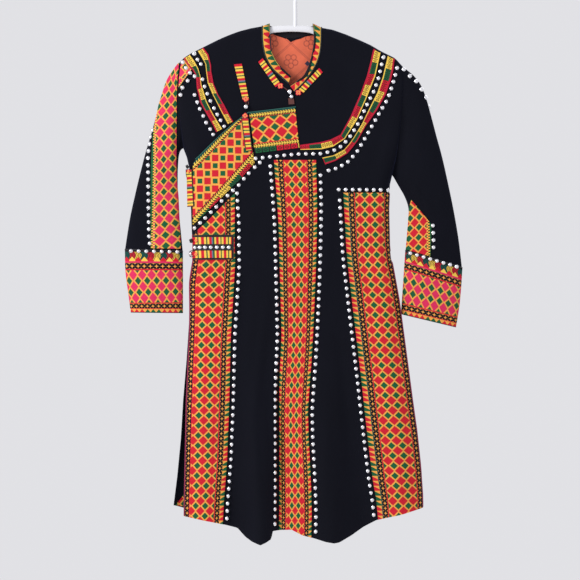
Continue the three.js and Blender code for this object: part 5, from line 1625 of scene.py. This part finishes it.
def lathe(name, centre, normal, profile, node=None, sides=28):
    points = turned_points(centre, normal, profile, sides)
    piece = mesh_piece(name, points, ring_faces(len(profile), sides), silver, sharp=40)
    return dress(piece, node)


def button_profile(radius):
    lines = [(0.35 * radius, 0), (0.4 * radius, 0.3)]
    for k in range(1, 14):
        angle = math.pi * k / 14
        wave = 1 + 0.035 * math.cos(8 * angle)
        lines.append((radius * math.sin(angle) * wave, radius * 0.8 * (1 - math.cos(angle)) + 0.3))
    lines.append((0.05 * radius, radius * 1.6 + 0.3))
    return lines


def seat_on(lift_of, col, row, lift):
    seats, normals = laid(front, lift_of, np.array([[col, row]], dtype=float), lift)
    return seats[0], normals[0]


for name, node, lift_of, col, row, radius, lift in (
    ("neck_button", "button_neck", under_lift, 289.6, 92.3, 5.2, LAY),
    ("chest_button", "button_chest", under_lift, 246, 107.4, 5.2, LAY),
    ("waist_button", "button_waist", over_lift, 194.9, 253.6, 3.8, TAB_TOP + LAY),
):
    lathe(name, *seat_on(lift_of, col, row, lift), button_profile(radius), node)


def knot_path(seat, normal, size):
    side, up = frame_of(normal)
    t = np.linspace(0, 2 * math.pi, 121)[:-1]
    ring = 2.1 + 0.95 * np.cos(3 * t)
    flat = np.outer(ring * np.cos(2 * t), side) + np.outer(ring * np.sin(2 * t), up)
    rise = np.outer(0.9 * np.sin(3 * t) + 2.0, normal)
    path = seat + (flat + rise) * size * MM
    return np.concatenate([path, path[:2]])


waist_seat = seat_on(over_lift, 195, 240.6, TAB_TOP + LAY)
tube_mesh("waist_knot", knot_path(*waist_seat, 1.25), 1.35 * MM, black_cord, "knot_waist")
side_seat = seat_on(over_lift, 191, 166, TAB_TOP)
tube_mesh("side_knot", knot_path(*side_seat, 1.15), 1.25 * MM, black_cord)


PETAL_SIDES = 48


def petals(name, lift_of, col, row, size, turn, lift):
    """A small four-petal end of red thread, with a gold ring of thread on it."""
    seat, normal = seat_on(lift_of, col, row, lift)
    side, up = frame_of(normal)

    def ring(count, low, high, level):
        angles = 2 * math.pi * np.arange(count) / PETAL_SIDES
        radius = size * (low + high * np.abs(np.cos(2 * angles)) ** 0.7)
        flat = np.outer(radius * np.cos(angles + turn), side) + np.outer(radius * np.sin(angles + turn), up)
        return seat + (flat + level * normal) * MM

    foot, edge = ring(PETAL_SIDES, 0.66, 0.34, 0), ring(PETAL_SIDES, 0.594, 0.306, 0.9)
    points = np.concatenate([foot, edge, [seat + normal * 1.2 * MM]])
    dress(mesh_piece(name, points, ring_faces(2, PETAL_SIDES, tip=2 * PETAL_SIDES), petal_thread))
    thread = ring(PETAL_SIDES + 1, 0.34, 0.24, 1.3)
    tube_mesh(name + "_thread", thread, 0.45 * MM, petal_gold, sides=6)


for name, lift_of, col, row, size, turn, lift in (
    ("chest_petals_upper", under_lift, 245.8, 99.4, 6.6, 0.15, BROCADE_TOP),
    ("chest_petals_lower", over_lift, 245.3, 116.6, 6.2, 0.1, TAB_TOP),
    ("collar_petals_left", under_lift, 280.4, 86.2, 6.6, 0.7, BROCADE_TOP),
    ("collar_petals_right", over_lift, 298.4, 93.2, 6.6, 0.75, BROCADE_TOP),
    ("side_petals", over_lift, 192, 171.2, 4.6, 0.0, TAB_TOP + BROCADE),
    ("waist_petals_upper", over_lift, 198.4, 240.7, 4.4, 0.0, TAB_TOP),
    ("waist_petals_lower", over_lift, 198.4, 254.3, 4.4, 0.0, TAB_TOP),
):
    petals(name, lift_of, col, row, size, turn, lift)
for name, lift_of, path, radius, lift, finish in (
    ("chest_loop_left", under_lift, [[245.2, 101], [246.4, 103.4], [245.6, 106]], 0.8, 2.2 * MM, brown_cord),
    ("chest_loop_right", under_lift, [[247.6, 101], [248.8, 103.6], [247.4, 106]], 0.8, 2.2 * MM, brown_cord),
    ("neck_loop", under_lift, [[283.4, 87.4], [286, 89.2], [288, 91.4]], 0.9, 1.6 * MM, brown_cord),
    ("waist_loop", over_lift, [
        [197, 251.4], [194.4, 250.6], [192, 252], [192, 255.2], [194.4, 256.8], [197, 256],
    ], 0.9, TAB_TOP, black_cord),
):
    cord_on(name, lift_of, path, radius, lift, finish, step=0.5)
strip_places = edges([[288.2, 98.6, 293.8, 98.4], [288.6, 104.8, 294.4, 104.4]], 8, 8)
neck_strip = applique("neck_strip", under_lift, strip_places, BROCADE_TOP, brown_cord, strip_places)
lathe("neck_bead", *seat_on(under_lift, 291.4, 97.2, LAY), button_profile(4.4))

# Hanger

bar_top = table("col row high thick", [
    [188, 56.2, 11, 6.5], [202, 48.7, 12, 7], [218, 41.7, 13, 7], [240, 34.9, 13.5, 7], [256, 29.8, 14, 7],
    [266, 27.6, 14, 7], [273, 25.6, 14, 7], [284, 24.8, 13.5, 7], [292, 24.6, 13.5, 7], [300, 24.8, 13.5, 7],
    [310, 25.6, 14, 7], [317, 28, 14, 7], [328, 30.6, 14, 7], [345, 36.6, 13.5, 7], [371, 47.9, 13, 7],
    [384, 55.5, 12, 7], [396, 63, 11, 6],
])
HOOK_WIDE, HOOK_THICK, HOOK_RADIUS = 8.4, 6.4, 20
HOOK_STATIONS = 140
SWEEP_SIDES = 24


def sweep(stations, high, thick, first=0):
    """A bar of oval section along places in mm on the middle plane."""
    points = []
    for (x, z), (way_x, way_z), tall, deep in zip(stations, unit(np.gradient(stations, axis=0)), high, thick):
        up, out = np.array([-way_z, 0, way_x]) * tall / 2, np.array([0, deep / 2, 0])
        angle = 2 * math.pi * (np.arange(SWEEP_SIDES) + 0.5) / SWEEP_SIDES
        points.extend((np.array([x, 0, z]) + np.outer(np.cos(angle), up) + np.outer(np.sin(angle), out)) * MM)
    return points, ring_faces(len(stations), SWEEP_SIDES, first)


bar_at = np.linspace(0, len(bar_top["col"]) - 1, 97)
bar_high = curve(bar_top["high"], bar_at)
bar_line = pair(gx(curve(bar_top["col"], bar_at)) / MM, gz(curve(bar_top["row"], bar_at)) / MM - bar_high / 2)
bar_points, bar_faces = sweep(bar_line, bar_high, curve(bar_top["thick"], bar_at))
turns = np.radians(np.arange(-45, 197, 8))
reach = HOOK_RADIUS + HOOK_WIDE / 2
stem = [[7, -111], [7, -89], [7, -71], [7, -55], [9.5, -47]]
hook_line = np.concatenate([stem, pair(reach * np.cos(turns), -HOOK_RADIUS + reach * np.sin(turns))])
hook_at = np.linspace(0, len(hook_line) - 1, HOOK_STATIONS)
hook_path = pair(curve(hook_line[:, 0], hook_at), curve(hook_line[:, 1], hook_at))
hook_points, hook_faces = sweep(
    hook_path, np.full(HOOK_STATIONS, HOOK_WIDE), np.full(HOOK_STATIONS, HOOK_THICK), len(bar_points))
hanger = mesh_piece("moulded_hanger", bar_points + hook_points, bar_faces + hook_faces, hanger_plastic)
dress(hanger, "hanger")

# Flat sizes in metres of the ribbons and patches, as cut and sewn: each is worked out and not kept


def declare(piece):
    """A ribbon or patch as cut: its widest row, its length down its middle, and its own area."""
    points = cloth_grids[piece.name]
    widths = np.linalg.norm(np.diff(points, axis=1), axis=-1).sum(axis=1)
    length = np.linalg.norm(np.diff(points[:, points.shape[1] // 2], axis=0), axis=-1).sum()
    diagonals = points[1:, 1:] - points[:-1, :-1], points[1:, :-1] - points[:-1, 1:]
    area = np.linalg.norm(np.cross(*diagonals), axis=-1).sum() / 2
    wide, long, area = (round(float(v), 5) for v in (widths.max(), length, area))


for piece, (lift_of, *_) in zip(yoke_pieces + tab_pieces, [*yoke_tables.values(), *tab_tables.values()]):
    declare(piece)
for piece in (centre_band, right_band, left_band, waist_ground):
    declare(piece)
for piece, carrier in (
    (shoulder_corner, "front_under"), (neck_strip, "front_under"), (back_corner, "back"),
    (sleeve_band_left, "sleeve_left"), (sleeve_band_right, "sleeve_right"),
):
    declare(piece)

# Floor, lights and camera

floor_finish = plain("floor_paint", srgb(226, 224, 222), 0.8, scale=20, bump=0.02, mottle=0.04)
FLOOR_Z, FLOOR_SIDE = -1.5, 0.85
floor_mesh = bpy.data.meshes.new("floor")
floor_corners = [(x * FLOOR_SIDE, y * FLOOR_SIDE, FLOOR_Z) for x, y in ((-1, -1), (1, -1), (1, 1), (-1, 1))]
floor_mesh.from_pydata(floor_corners, [], [(0, 1, 2, 3)])
floor_mesh.materials.append(floor_finish)
floor = bpy.data.objects.new("floor", floor_mesh)
bpy.context.scene.collection.objects.link(floor)


def soft_light(name, place, aim, size, power):
    data = bpy.data.lights.new(name, "AREA")
    data.size = size
    data.energy = power
    lamp = bpy.data.objects.new(name, data)
    lamp.location = place
    lamp.rotation_euler = (Vector(aim) - Vector(place)).to_track_quat("-Z", "Y").to_euler()
    bpy.context.scene.collection.objects.link(lamp)


CHEST = (0, 0, -0.6)
soft_light("key_light", (-2.1, -1.9, 0.5), CHEST, 1.1, 66)
soft_light("fill_light", (1.8, -2.4, -0.4), CHEST, 1.8, 4)
soft_light("back_light", (0.6, 2.4, 0.6), CHEST, 1.8, 30)

world = bpy.data.worlds.new("pale_room")
world.use_nodes = True
background = world.node_tree.nodes["Background"]
background.inputs["Color"].default_value = srgb(236, 236, 240)
background.inputs["Strength"].default_value = 0.9
bpy.context.scene.world = world
bpy.context.scene.view_settings.view_transform = "Standard"

CAMERA_AWAY = 5.0
FRONT_OUT = 0.015
FRAME_WIDE = 580 * GRID
FRAME_MIDDLE = 290
FILM_WIDE = 36
camera_data = bpy.data.cameras.new("camera")
camera_data.sensor_width = FILM_WIDE
camera_data.lens = FILM_WIDE * (CAMERA_AWAY - FRONT_OUT) / FRAME_WIDE
camera = bpy.data.objects.new("camera", camera_data)
camera.location = (float(gx(FRAME_MIDDLE)), -CAMERA_AWAY, float(gz(FRAME_MIDDLE)))
camera.rotation_euler = (math.pi / 2, 0, 0)
bpy.context.scene.collection.objects.link(camera)
bpy.context.scene.camera = camera
